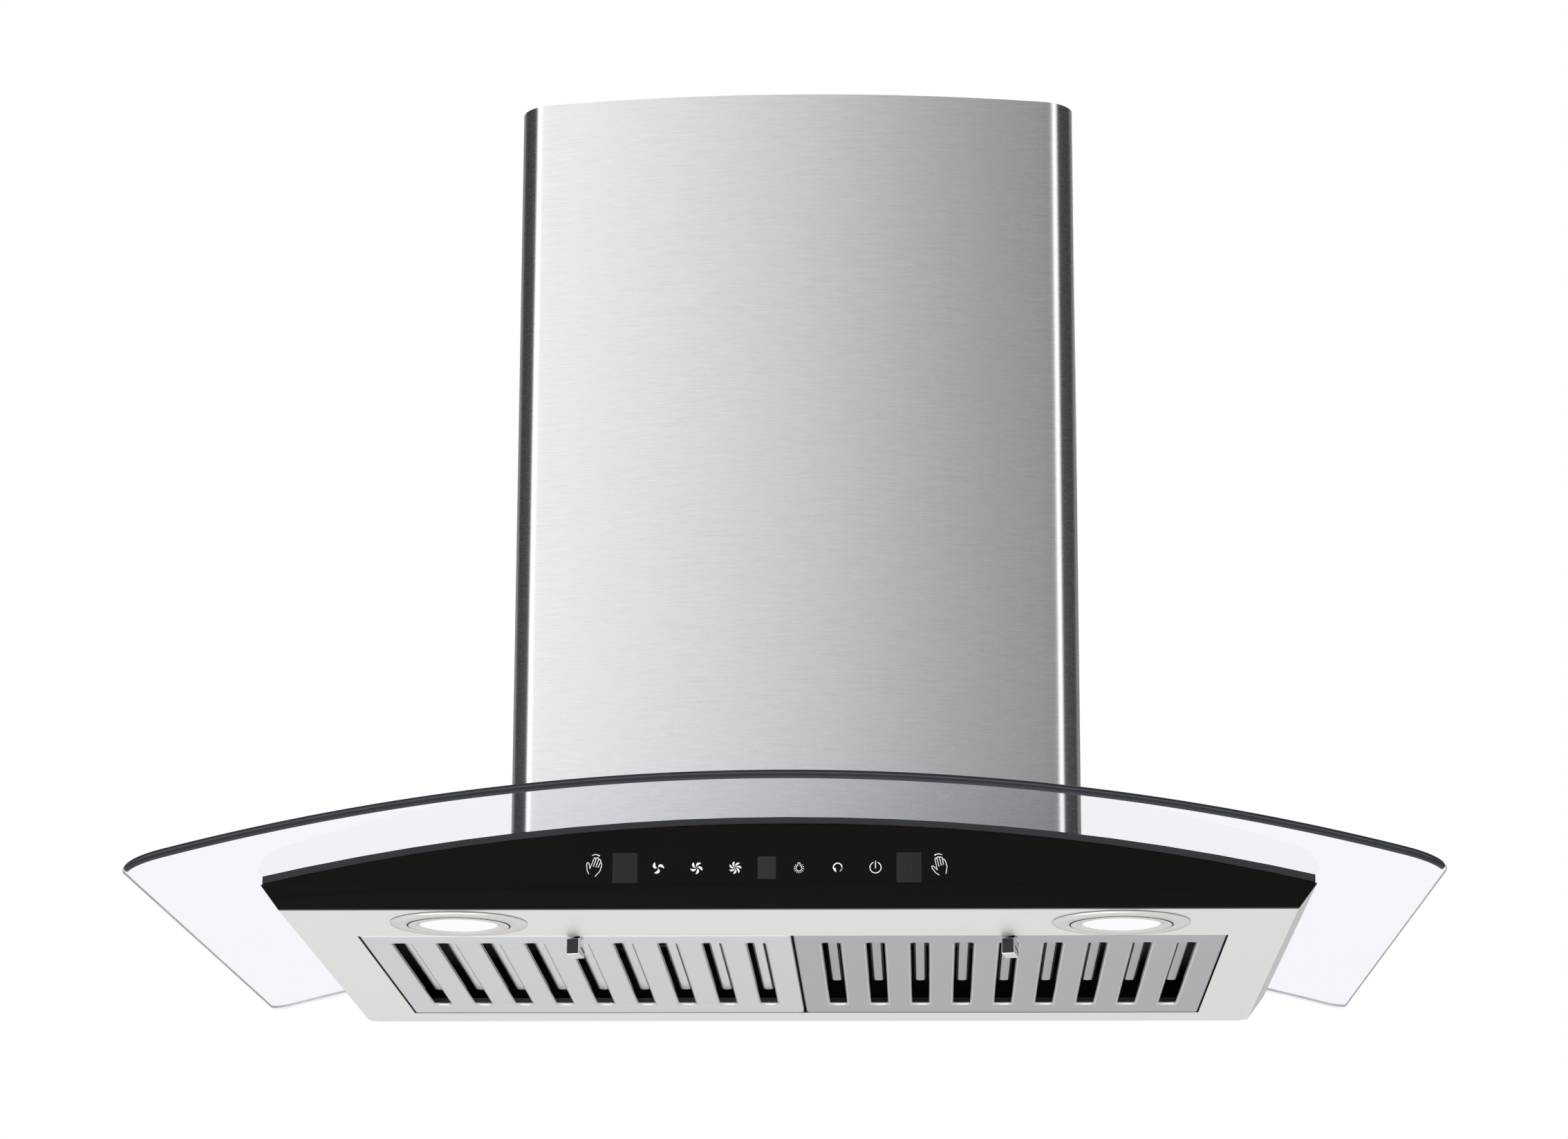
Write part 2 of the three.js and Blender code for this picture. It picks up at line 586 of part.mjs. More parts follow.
const COLLAR_TOP = 355;
const COLLAR_FOOT = { halfWidth: 84, halfDepth: 77 };
const FLAP_Z = 320;
const PIN_RADIUS = 1.5;
const FLAP_RADIUS = 70;
const FLAP_ROOT = 3;              // the leaf starts this far from the pin's axis
const KNUCKLE_RADIUS = 3.5;
const knucklesRear = [[-50, -30], [10, 30]];
const knucklesFront = [[-25, -5], [35, 55]];

function outletCollar() {
  const pipe = ring(DUCT_RADIUS - 2.5, DUCT_RADIUS, box.top + GAP, COLLAR_TOP, 40);
  const foot = cut(block(-COLLAR_FOOT.halfWidth, COLLAR_FOOT.halfWidth,
    -COLLAR_FOOT.halfDepth, COLLAR_FOOT.halfDepth, box.top + GAP, box.top + 3),
  disc(DUCT_RADIUS - 1, box.top, box.top + 4, 40));
  const pinHole = lieAlongX(disc(PIN_RADIUS + GAP, -90, 90, 12)).translate(0, 0, FLAP_Z);
  return cut(join(pipe, foot), pinHole);
}

/** A half disc hinged on the pin, drawn with the pin along X and the flap towards +Y. */
function damperFlap(own, others) {
  const half = new THREE.Shape();
  half.absarc(0, 0, FLAP_RADIUS, 0.03, Math.PI - 0.03);
  half.closePath();
  const leaf = alongZ(half, -0.75, 0.75, 14);
  const knuckle = ([x0, x1]) => lieAlongX(disc(KNUCKLE_RADIUS, x0, x1, 12));
  const clearance = others.map(([x0, x1]) => block(x0 - 1, x1 + 1, -5, 5, -4, 4));
  const seam = block(-FLAP_RADIUS, FLAP_RADIUS, -1, FLAP_ROOT, -4, 4);
  const bore = lieAlongX(disc(PIN_RADIUS + GAP, -80, 80, 12));
  return cut(join(cut(leaf, seam, ...clearance), ...own.map(knuckle)), bore);
}

function addOutlet(hood) {
  const outlet = new THREE.Group();
  outlet.position.set(0, DUCT_Y, 0);
  piece(outlet, 'outlet_collar', outletCollar(), blackPlastic);
  piece(outlet, 'damper_pin', lieAlongX(disc(PIN_RADIUS, -74, 74, 12)), polishedMetal, [0, 0, FLAP_Z]);
  piece(outlet, 'damper_flap_rear', damperFlap(knucklesRear, knucklesFront), blackPlastic,
    [0, 0, FLAP_Z]);
  const mirrored = (spans) => spans.map(([x0, x1]) => [-x1, -x0]);
  piece(outlet, 'damper_flap_front', damperFlap(mirrored(knucklesFront), mirrored(knucklesRear)),
    blackPlastic, [0, 0, FLAP_Z], [0, 0, Math.PI]);
  hood.add(outlet);
}

// ---- Chimney covers and the parts that hold them ---------------------------------------------------------

const NEST = 3;                   // the upper cover's inset in the lower cover
const UPPER_BOTTOM = 240;
const UPPER_TOP = COVER_TOP - 3;
const COVER_SCREW = { y: -150, z: 221 };
const VENTS = { count: 4, lowest: COVER_TOP - 58, pitch: 8, height: 3, front: -230, back: -130 };

/** The plan of the bowed chimney, drawn inset from its outer face and stopped at a rear line. */
function coverPlan(inset, rear) {
  const cornerX = COVER_HALF_WIDTH - COVER_CORNER;
  const bendY = -COVER_DEPTH + COVER_BEND;
  const cornerY = bendY - Math.sqrt((COVER_BEND - COVER_CORNER) ** 2 - cornerX ** 2);
  const turn = Math.asin(cornerX / (COVER_BEND - COVER_CORNER));
  const corner = COVER_CORNER - inset;
  const down = -Math.PI / 2;
  const shape = new THREE.Shape();
  shape.moveTo(-COVER_HALF_WIDTH + inset, rear);
  shape.lineTo(COVER_HALF_WIDTH - inset, rear);
  shape.absarc(cornerX, cornerY, corner, 0, down + turn, true);
  shape.absarc(0, bendY, COVER_BEND - inset, down + turn, down - turn, true);
  shape.absarc(-cornerX, cornerY, corner, down - turn, 2 * down, true);
  shape.closePath();
  return shape;
}

/** A three-sided cover with a return flange down each rear edge, and vents in its sides. */
function cover(inset, rear, flange, bottom, top) {
  const inner = COVER_HALF_WIDTH - inset - flange;
  const shell = cut(
    alongZ(coverPlan(inset, rear), bottom, top, 8),
    alongZ(coverPlan(inset + SHEET, rear - SHEET), bottom - 1, top + 1, 8),
    block(-inner, inner, rear - 2 * SHEET, rear + 1, bottom - 1, top + 1));
  const vents = Array.from({ length: VENTS.count }, (_, i) => {
    const z = VENTS.lowest + i * VENTS.pitch;
    return block(-COVER_HALF_WIDTH - 5, COVER_HALF_WIDTH + 5, VENTS.front, VENTS.back,
      z, z + VENTS.height);
  });
  return cut(shell, ...vents);
}

function lowerCover() {
  const belowGlass = archBand(flat(0), raised(glassTop, 0.4), 200, -COVER_DEPTH - 5, 5);
  const screwHoles = lieAlongX(disc(SCREW_HOLE, -200, 200, 12))
    .translate(0, COVER_SCREW.y, COVER_SCREW.z);
  return cut(cover(0, 0, 14, 30, COVER_TOP), belowGlass, screwHoles);
}

const BRACKET_HALF_WIDTH = 160;
const BRACKET_HALF_HEIGHT = 15;
const BRACKET_SHEET = 1.6;
const BRACKET_HOLE_X = 156;
const BRACKET_Z = UPPER_TOP - 25;
const bracketHoles = () => [-1, 1].map((side) => disc(SCREW_HOLE, -8, 8, 12)
  .rotateX(Math.PI / 2).translate(side * BRACKET_HOLE_X, 0, BRACKET_Z));

const upperCover = () =>
  cut(cover(NEST, -BRACKET_SHEET - 0.5, 25, UPPER_BOTTOM, UPPER_TOP), ...bracketHoles());

function chimneyBracket() {
  const top = BRACKET_Z + BRACKET_HALF_HEIGHT;
  const strip = block(-BRACKET_HALF_WIDTH, BRACKET_HALF_WIDTH, -BRACKET_SHEET, 0,
    BRACKET_Z - BRACKET_HALF_HEIGHT, top);
  const rib = block(-BRACKET_HALF_WIDTH + 20, BRACKET_HALF_WIDTH - 20, -12, -0.5,
    top - BRACKET_SHEET, top);
  return cut(join(strip, rib), ...bracketHoles());
}

const TIE = { halfWidth: 15, halfHeight: 12, sheet: 1.5 };

/** The angle that ties the lower cover's side to the blower box, drawn for the right side. */
function coverBracket() {
  const reach = COVER_HALF_WIDTH - SHEET - GAP;
  const foot = box.halfWidth + GAP;
  const { z } = COVER_SCREW;
  const { halfWidth, halfHeight, sheet } = TIE;
  return cut(join(
    block(foot, foot + sheet, -halfWidth, halfWidth, z - halfHeight, z + halfHeight),
    block(foot, reach, -halfWidth, halfWidth, z - halfHeight, z - halfHeight + sheet),
    block(reach - sheet, reach, -halfWidth, halfWidth, z - halfHeight, z + halfHeight)),
  lieAlongX(disc(SCREW_HOLE, foot + 5, reach + 5, 12)).translate(0, 0, z));
}

const RAIL = { bottom: 230, top: 280, thickness: 2, front: -7, ledge: 247 };

/** A wall plate whose upturned lip carries the hook on the blower box. */
function wallRail() {
  const halfWidth = hook.halfWidth + 10;
  const { bottom, top, thickness, front, ledge } = RAIL;
  return join(
    block(-halfWidth, halfWidth, -thickness, 0, bottom, top),
    block(-halfWidth, halfWidth, front, -1, ledge, ledge + thickness),
    block(-halfWidth, halfWidth, front, front + thickness, ledge + 1, hook.shelf - 1));
}

function addChimney(hood) {
  piece(hood, 'lower_cover', lowerCover(), brushedSteel);
  piece(hood, 'upper_cover', upperCover(), brushedSteel);
  piece(hood, 'chimney_bracket', chimneyBracket(), galvanised);
  piece(hood, 'wall_rail', wallRail(), galvanised);

  const small = screw(3.6, 1.6, 2, 3.2);
  for (const [side, name, turn] of [[-1, 'left', Math.PI], [1, 'right', 0]]) {
    const { y, z } = COVER_SCREW;
    piece(hood, `cover_bracket_${name}`, coverBracket(), galvanised, [0, y, 0], [0, 0, turn]);
    piece(hood, `cover_screw_${name}`, small, polishedMetal,
      [side * (COVER_HALF_WIDTH + 0.05), y, z], [0, side * Math.PI / 2, 0]);
    piece(hood, `bracket_screw_${name}`, small, galvanised,
      [side * BRACKET_HOLE_X, -3.35, BRACKET_Z], [Math.PI / 2, 0, 0]);
  }
}

function addBodyScrews(hood) {
  const long = screw(4, 2.2, 2, 6);
  flangeScrews.forEach(([x, y], i) => piece(hood, `body_screw_${i + 1}`, long, polishedMetal,
    [x, y, bodyTop(x) - SHEET - 1.4], [Math.PI, 0, 0]));
}

// ---- The hood -------------------------------------------------------------------------------------------

const hood = new THREE.Group();
hood.position.z = -REAR_FACE_MIDDLE;
addBody(hood);
addControls(hood);
for (const [side, name] of [[-1, 'left'], [1, 'right']]) {
  addLamp(hood, side, name);
  addFilter(hood, side, name);
}
addBlower(hood);
addElectrics(hood);
addOutlet(hood);
addChimney(hood);
addBodyScrews(hood);

const model = new THREE.Group();
model.add(hood);

export default model;
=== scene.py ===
"""The looks of a wall-mounted chimney range hood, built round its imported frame.

Metres, in the frame's own axes: +X to the right of a cook facing the hood, +Y towards the wall,
+Z up. Places and sizes come from the frame's boxes wherever a box gives them.
"""
import math

import bmesh
import bpy
from mathutils import Matrix, Vector


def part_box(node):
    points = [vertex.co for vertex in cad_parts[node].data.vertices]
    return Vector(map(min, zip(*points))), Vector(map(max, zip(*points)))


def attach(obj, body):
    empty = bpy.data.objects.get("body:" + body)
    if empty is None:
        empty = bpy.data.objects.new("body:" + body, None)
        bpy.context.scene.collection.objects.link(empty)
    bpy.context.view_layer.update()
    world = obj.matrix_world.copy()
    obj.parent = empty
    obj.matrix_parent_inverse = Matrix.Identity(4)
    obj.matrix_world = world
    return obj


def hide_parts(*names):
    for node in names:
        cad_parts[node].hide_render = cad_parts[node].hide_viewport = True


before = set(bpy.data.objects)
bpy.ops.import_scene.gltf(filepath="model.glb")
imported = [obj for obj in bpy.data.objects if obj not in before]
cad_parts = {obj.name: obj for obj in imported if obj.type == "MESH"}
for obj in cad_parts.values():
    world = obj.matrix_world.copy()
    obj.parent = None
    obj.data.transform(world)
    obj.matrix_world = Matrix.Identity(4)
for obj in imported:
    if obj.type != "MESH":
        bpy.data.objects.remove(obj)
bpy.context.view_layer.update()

MM = 0.001
TURN = 2 * math.pi


# ---- Sizes ----

glass_low, glass_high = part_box("glass_canopy")
body_low, body_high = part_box("body_shell")
fascia_low, fascia_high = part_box("control_fascia")
cover_low, cover_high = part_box("lower_cover")
upper_low, upper_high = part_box("upper_cover")
UNDERSIDE = body_low.z

GLASS_THICKNESS = 5 * MM
GLASS_TAPER = 10 * MM             # each side draws in by this much towards the wall
GLASS_CORNER_FRONT = 25 * MM
GLASS_CORNER_BACK = 14 * MM
GLASS_STRIP = 10 * MM             # the bend is made of flat strips up to this wide
CUTOUT_HALF_WIDTH = 150 * MM
CUTOUT_FRONT = -280 * MM
CUTOUT_BACK = -7 * MM
CUTOUT_CORNER = 8 * MM

SHOULDER_HEIGHT = 14.8 * MM       # where the body's leaning sides meet its arched top
BODY_LEAN = 11 * MM               # how far the sides lean out over that height

COVER_BEND = 741 * MM             # radius of the chimney's bowed front
COVER_CORNER = 25 * MM
COVER_FOLD = 2 * MM               # radius of the bend into each rear flange
COVER_SHEET = 1.2 * MM
VENT_COUNT = 4
VENT_LOWEST = cover_high.z - 58 * MM
VENT_PITCH = 8 * MM
VENT_HEIGHT = 3 * MM
VENT_FRONT = -230 * MM
VENT_BACK = -130 * MM

SLOT_COUNT = 9
SLOT_PITCH = 27.6 * MM
SLOT_HALF_WIDTH = 5.6 * MM
SLOT_CORNER = 5.2 * MM
SLOT_FRONT_MARGIN = 27 * MM
SLOT_REAR_MARGIN = 34 * MM
FILTER_DEPTH = 321 * MM
FILTER_SHEET = 0.8 * MM

CONTROLS_X = -12 * MM
CONTROLS_Z = UNDERSIDE + 24.6 * MM


def arch(crown, radius):
    """The height over x of a round arch."""
    return lambda x: crown - radius + math.sqrt(radius * radius - x * x)


def arch_radius(half_width, drop):
    return (half_width ** 2 + drop ** 2) / (2 * drop)


glass_crown = glass_high.z - GLASS_THICKNESS
glass_radius = arch_radius(glass_high.x, glass_crown - glass_low.z)
glass_under = arch(glass_crown, glass_radius)
glass_top = arch(glass_high.z, glass_radius + GLASS_THICKNESS)
shoulder_z = UNDERSIDE + SHOULDER_HEIGHT
body_top = arch(body_high.z, arch_radius(body_high.x, body_high.z - shoulder_z))


# ---- Mesh making ----

def rounded_loop(half_x, front, back, r_front, r_back, steps=6, x=0.0):
    """A rectangle's plan with round corners, counter-clockwise seen from above."""
    corners = [
        (half_x, back, r_back, 0.0),
        (-half_x, back, r_back, 0.25),
        (-half_x, front, r_front, 0.5),
        (half_x, front, r_front, 0.75),
    ]
    loop = []
    for corner_x, corner_y, radius, start in corners:
        centre_x = corner_x - math.copysign(radius, corner_x)
        centre_y = corner_y + (radius if start >= 0.5 else -radius)
        for i in range(steps + 1):
            angle = TURN * (start + 0.25 * i / steps)
            loop.append((x + centre_x + radius * math.cos(angle),
                         centre_y + radius * math.sin(angle)))
    return loop


def in_mm(points):
    return [(u * MM, v * MM) for u, v in points]


def outward(loop):
    """The outward normals of a counter-clockwise loop, lengthened at its corners as a mitre is."""
    normals = []
    for i, (x, y) in enumerate(loop):
        before, after = Vector(loop[i - 1]), Vector(loop[(i + 1) % len(loop)])
        into = (Vector((x, y)) - before).normalized()
        out_of = (after - Vector((x, y))).normalized()
        middle = Vector((into.y + out_of.y, -into.x - out_of.x)).normalized()
        cosine = max(0.5, middle.dot(Vector((into.y, -into.x))))
        normals.append(middle / cosine)
    return normals


def quarter_turn(steps):
    return [math.pi / 2 * i / steps for i in range(steps + 1)]


def hem(radius, height, thickness, steps=5):
    """A sheet's folded edge in section, as (outwards, upwards), from lower to upper skin."""
    quarter = quarter_turn(steps)
    outer = [(radius * math.sin(a), radius * (1 - math.cos(a))) for a in quarter]
    inner_radius = radius - thickness
    inner = [(inner_radius * math.sin(a), radius - inner_radius * math.cos(a))
             for a in reversed(quarter)]
    return outer + [(radius, height), (radius - thickness, height)] + inner


class Form:
    """A mesh put together from rings of points."""

    def __init__(self):
        self.bm = bmesh.new()

    def ring(self, points):
        return [self.bm.verts.new(p) for p in points]

    def face(self, corners, material=0):
        made = self.bm.faces.new(corners)
        made.material_index = material
        return made

    def band(self, first, second, material=0):
        for i in range(len(first)):
            j = (i + 1) % len(first)
            self.face((first[i], first[j], second[j], second[i]), material)

    def fill(self, rings):
        """A flat face inside the first ring and outside the others."""
        edges = []
        for ring in rings:
            for i, corner in enumerate(ring):
                ends = (ring[i - 1], corner)
                edges.append(self.bm.edges.get(ends) or self.bm.edges.new(ends))
        bmesh.ops.triangle_fill(self.bm, use_beauty=True, use_dissolve=False, edges=edges)

    def sweep(self, loop, section, base, inward=False, material=0):
        """Rings that carry a section of (outwards, upwards) steps round a loop."""
        side = -1.0 if inward else 1.0
        normals = outward(loop)
        rings = []
        for out, rise in section:
            rings.append(self.ring(
                (x + side * out * n.x, y + side * out * n.y, base + rise)
                for (x, y), n in zip(loop, normals)))
        for first, second in zip(rings, rings[1:]):
            self.band(first, second, material)
        return rings[0], rings[-1]

    def block(self, low, high):
        corners = [Vector((x, y, z)) for x in (low[0], high[0]) for y in (low[1], high[1])
                   for z in (low[2], high[2])]
        v = self.ring(corners)
        sides = ((0, 1, 3, 2), (4, 6, 7, 5), (0, 4, 5, 1), (2, 3, 7, 6), (0, 2, 6, 4), (1, 5, 7, 3))
        for quad in sides:
            self.face([v[i] for i in quad])

    def plate(self, loop, depth, radius, place):
        """A solid plate with rounded rims; place puts (u, v, w) in space."""
        normals = outward(loop)
        section = [(radius * math.sin(a), radius * (1 - math.cos(a))) for a in quarter_turn(3)]
        section += [(out, depth - rise) for out, rise in reversed(section)]
        rings = []
        for out, w in section:
            rings.append(self.ring(
                place(u + (out - radius) * n.x, v + (out - radius) * n.y, w)
                for (u, v), n in zip(loop, normals)))
        for first, second in zip(rings, rings[1:]):
            self.band(first, second)
        self.face(rings[0])
        self.face(rings[-1])

    def turned(self, section, centre, axis=(0, 0, 1), segments=96, materials=None):
        """A section of (radius, height) points turned round an axis through a centre."""
        turn = Vector((0, 0, 1)).rotation_difference(Vector(axis)).to_matrix()
        rings = []
        for radius, height in section:
            angles = [TURN * i / segments for i in range(segments if radius else 1)]
            rings.append(self.ring(
                Vector(centre) + turn @ Vector((radius * math.cos(a), radius * math.sin(a), height))
                for a in angles))
        for k, (first, second) in enumerate(zip(rings, rings[1:])):
            material = materials[k] if materials else 0
            if len(first) > 1 and len(second) > 1:
                self.band(first, second, material)
                continue
            tip, rim = sorted((first, second), key=len)
            for i in range(len(rim)):
                self.face((tip[0], rim[i - 1], rim[i]), material)

    def object(self, name, materials=()):
        mesh = bpy.data.meshes.new(name)
        self.bm.to_mesh(mesh)
        self.bm.free()
        for each in materials:
            mesh.materials.append(each)
        obj = bpy.data.objects.new(name, mesh)
        bpy.context.scene.collection.objects.link(obj)
        return obj

    def piece(self, name, body, materials, replaced=(), sharp=35, closed=True):
        """The finished object, riding on its body in the CAD nodes' stead."""
        if closed:
            bmesh.ops.recalc_face_normals(self.bm, faces=self.bm.faces)
        obj = self.object(name, materials)
        obj.data.shade_smooth()
        obj.data.set_sharp_from_angle(angle=math.radians(sharp))
        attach(obj, body)
        if replaced:
            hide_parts(*replaced)
        return obj


# ---- Materials ----

PATTERN_REACH = (0.3, 0.7)        # where nearly all of a noise's values lie


def rgb(red, green, blue):
    """A linear colour from 0-255 display values."""
    def linear(value):
        share = value / 255
        return share / 12.92 if share <= 0.04045 else ((share + 0.055) / 1.055) ** 2.4
    return (linear(red), linear(green), linear(blue), 1.0)


class Finish:
    """A Principled material and the nodes that vary it."""

    def __init__(self, name, colour, roughness, metallic=0.0, **sockets):
        self.material = bpy.data.materials.new(name)
        self.material.use_nodes = True
        self.nodes = self.material.node_tree.nodes
        self.links = self.material.node_tree.links
        self.shader = self.nodes["Principled BSDF"]
        self.colour = colour
        usual = {"Base Color": colour, "Roughness": roughness, "Metallic": metallic}
        for socket, value in {**usual, **sockets}.items():
            self.shader.inputs[socket.replace("_", " ")].default_value = value

    def node(self, kind, **settings):
        made = self.nodes.new(kind)
        for name, value in settings.items():
            setattr(made, name, value)
        return made

    def place(self, scale, turn=(0, 0, 0)):
        """The frame's own coordinates, stretched by a scale in cycles per metre."""
        coordinates = self.node("ShaderNodeTexCoord")
        mapping = self.node("ShaderNodeMapping")
        mapping.inputs["Scale"].default_value = scale
        mapping.inputs["Rotation"].default_value = turn
        self.links.new(coordinates.outputs["Object"], mapping.inputs["Vector"])
        return mapping.outputs["Vector"]

    def noise(self, scale, detail=3.0, rough=0.6):
        made = self.node("ShaderNodeTexNoise")
        made.inputs["Scale"].default_value = 1.0
        made.inputs["Detail"].default_value = detail
        made.inputs["Roughness"].default_value = rough
        self.links.new(self.place(scale), made.inputs["Vector"])
        return made.outputs["Fac"]

    def cells(self, scale):
        made = self.node("ShaderNodeTexVoronoi")
        made.inputs["Scale"].default_value = 1.0
        self.links.new(self.place(scale), made.inputs["Vector"])
        return made.outputs["Color"]

    def tint(self, source, low, high):
        """Varies the base colour between two shares of itself."""
        ramp = self.node("ShaderNodeValToRGB")
        for element, share, place in zip(ramp.color_ramp.elements, (low, high), PATTERN_REACH):
            element.color = tuple(min(1.0, c * share) for c in self.colour[:3]) + (1.0,)
            element.position = place
        self.links.new(source, ramp.inputs["Fac"])
        self.links.new(ramp.outputs["Color"], self.shader.inputs["Base Color"])
        return self

    def roughen(self, source, low, high):
        """Varies the roughness between two values."""
        made = self.node("ShaderNodeMapRange")
        values = {"From Min": PATTERN_REACH[0], "From Max": PATTERN_REACH[1],
                  "To Min": low, "To Max": high}
        for socket, value in values.items():
            made.inputs[socket].default_value = value
        self.links.new(source, made.inputs["Value"])
        self.links.new(made.outputs["Result"], self.shader.inputs["Roughness"])
        return self

    def glow(self, colour, strength):
        self.shader.inputs["Emission Color"].default_value = colour
        self.shader.inputs["Emission Strength"].default_value = strength

    def bump(self, source, strength, distance):
        made = self.node("ShaderNodeBump")
        made.inputs["Strength"].default_value = strength
        made.inputs["Distance"].default_value = distance
        self.links.new(source, made.inputs["Height"])
        self.links.new(made.outputs["Normal"], self.shader.inputs["Normal"])
        return self


def brushed(name, colour, roughness, grain, variation, anisotropic=0.0, turn=0.0, relief=0.05):
    """Brushed steel: streaks that are long along the brushing and fine across it."""
    finish = Finish(name, colour, roughness, 1.0,
                    Anisotropic=anisotropic, Anisotropic_Rotation=turn)
    streaks = finish.noise(grain, detail=4.0, rough=0.7)
    finish.tint(streaks, 1 - variation, 1 + variation)
    finish.roughen(streaks, roughness - 0.01, roughness + 0.02)
    if relief:
        finish.bump(streaks, relief, 0.1 * MM)
    if anisotropic:
        tangent = finish.node("ShaderNodeTangent", direction_type="RADIAL", axis="Z")
        finish.links.new(tangent.outputs["Tangent"], finish.shader.inputs["Tangent"])
    return finish.material


def moulded(name, colour, roughness, grain=900, relief=0.15):
    """Moulded plastic or rubber with a fine eroded grain."""
    finish = Finish(name, colour, roughness)
    pits = finish.noise((grain, grain, grain), detail=2.0)
    clouds = finish.noise((14, 14, 14), detail=2.0)
    finish.tint(clouds, 0.92, 1.06)
    finish.roughen(pits, roughness - 0.06, roughness + 0.08)
    return finish.bump(pits, relief, 0.2 * MM).material


def galvanised(name):
    """Zinc-coated sheet with its spangle."""
    finish = Finish(name, rgb(176, 181, 184), 0.5, 1.0)
    spangle = finish.cells((110, 110, 110))
    finish.tint(spangle, 0.86, 1.08)
    finish.roughen(spangle, 0.4, 0.56)
    return finish.bump(finish.noise((500, 500, 500)), 0.1, 0.1 * MM).material


def cast(name, colour, roughness):
    """Cast or die-cast metal with a slightly pitted skin."""
    finish = Finish(name, colour, roughness, 1.0)
    skin = finish.noise((700, 700, 700), detail=3.0)
    finish.tint(finish.noise((30, 30, 30)), 0.92, 1.05)
    finish.roughen(skin, roughness - 0.08, roughness + 0.1)
    return finish.bump(skin, 0.25, 0.2 * MM).material


def clear_glass(mirror_share):
    """Thin toughened glass: clear face on, and more of a mirror at a glancing angle."""
    finish = Finish("clear_glass", (0.93, 0.95, 1.0, 1.0), 0.02, 1.0)
    fresnel = finish.node("ShaderNodeFresnel")
    fresnel.inputs["IOR"].default_value = 1.5
    geometry = finish.node("ShaderNodeNewGeometry")
    share = finish.node("ShaderNodeMath", operation="MULTIPLY")
    share.inputs[1].default_value = mirror_share
    finish.links.new(fresnel.outputs["Fac"], share.inputs[0])
    facing = finish.node("ShaderNodeMath", operation="SUBTRACT", use_clamp=True)
    finish.links.new(share.outputs["Value"], facing.inputs[0])
    finish.links.new(geometry.outputs["Backfacing"], facing.inputs[1])
    clear = finish.node("ShaderNodeBsdfTransparent")
    clear.inputs["Color"].default_value = (0.965, 0.965, 0.985, 1.0)
    smears = finish.noise((9, 9, 9), detail=2.0)
    finish.roughen(smears, 0.01, 0.05)
    mix = finish.node("ShaderNodeMixShader")
    finish.links.new(facing.outputs["Value"], mix.inputs["Fac"])
    finish.links.new(clear.outputs["BSDF"], mix.inputs[1])
    finish.links.new(finish.shader.outputs["BSDF"], mix.inputs[2])
    finish.links.new(mix.outputs["Shader"], finish.nodes["Material Output"].inputs["Surface"])
    return finish.material


def glass_edge(name, colour, roughness):
    """The polished rim, where the glass is seen along its depth, in colours that are painted light
    and shade: a dark front, pale outlines on the other rims, and a highlight line.
    """
    finish = Finish(name, colour, roughness, Specular_IOR_Level=0.2)
    return finish.tint(finish.noise((60, 60, 60)), 0.92, 1.08).material


def black_glass():
    finish = Finish("black_glass", rgb(25, 22, 19), 0.14, Specular_IOR_Level=0.05)
    clouds = finish.noise((20, 20, 20), detail=2.0)
    return finish.tint(clouds, 0.96, 1.04).roughen(clouds, 0.12, 0.16).material


def hatched(name, colour, share):
    """Fine diagonal mesh seen through a dark window."""
    finish = Finish(name, colour, 0.4, Specular_IOR_Level=0.1)
    checker = finish.node("ShaderNodeTexChecker")
    checker.inputs["Scale"].default_value = 1.0
    checker.inputs["Color1"].default_value = colour
    checker.inputs["Color2"].default_value = tuple(share * c for c in colour[:3]) + (1.0,)
    finish.links.new(finish.place((1300, 1, 1300), (0, math.pi / 4, 0)), checker.inputs["Vector"])
    finish.links.new(checker.outputs["Color"], finish.shader.inputs["Base Color"])
    return finish.material


def printed_with_painted_glow(name, colour):
    """White print under the glass, with a painted glow that keeps it bright."""
    finish = Finish(name, colour, 0.5, Specular_IOR_Level=0.1)
    # Painted light: the print glows though it is no lamp.
    finish.glow(colour, 0.35)
    return finish.tint(finish.noise((800, 800, 800)), 0.94, 1.0).material


def frosted_lens():
    """An opal lens lit from behind."""
    finish = Finish("frosted_lens", rgb(90, 90, 92), 0.35)
    finish.glow(rgb(248, 247, 255), 0.78)
    frost = finish.noise((1500, 1500, 1500))
    return finish.roughen(frost, 0.3, 0.45).material


def circuit_board():
    finish = Finish("circuit_board", rgb(31, 90, 56), 0.45)
    tracks = finish.node("ShaderNodeTexBrick", offset=0.3)
    tracks.inputs["Scale"].default_value = 1.0
    tracks.inputs["Mortar Size"].default_value = 0.03
    tracks.inputs["Color1"].default_value = rgb(28, 84, 50)
    tracks.inputs["Color2"].default_value = rgb(24, 72, 44)
    tracks.inputs["Mortar"].default_value = rgb(72, 130, 80)
    finish.links.new(finish.place((120, 300, 300), (math.pi / 2, 0, 0)), tracks.inputs["Vector"])
    finish.links.new(tracks.outputs["Color"], finish.shader.inputs["Base Color"])
    return finish.material


FILTER_GRAIN = (50, 900, 900)     # cycles per metre along X, Y and Z
EVEN_GRAIN = (40, 40, 40)

cover_steel = brushed("cover_steel", rgb(233, 234, 235), 0.26, (70, 70, 1900), 0.06,
                      anisotropic=0.85, turn=0.25, relief=0.0)
satin_steel = brushed("satin_steel", rgb(236, 236, 234), 0.48, (12, 400, 400), 0.02, relief=0.02)
filter_steel = brushed("filter_steel", rgb(229, 230, 233), 0.24, FILTER_GRAIN, 0.07, relief=0.04)
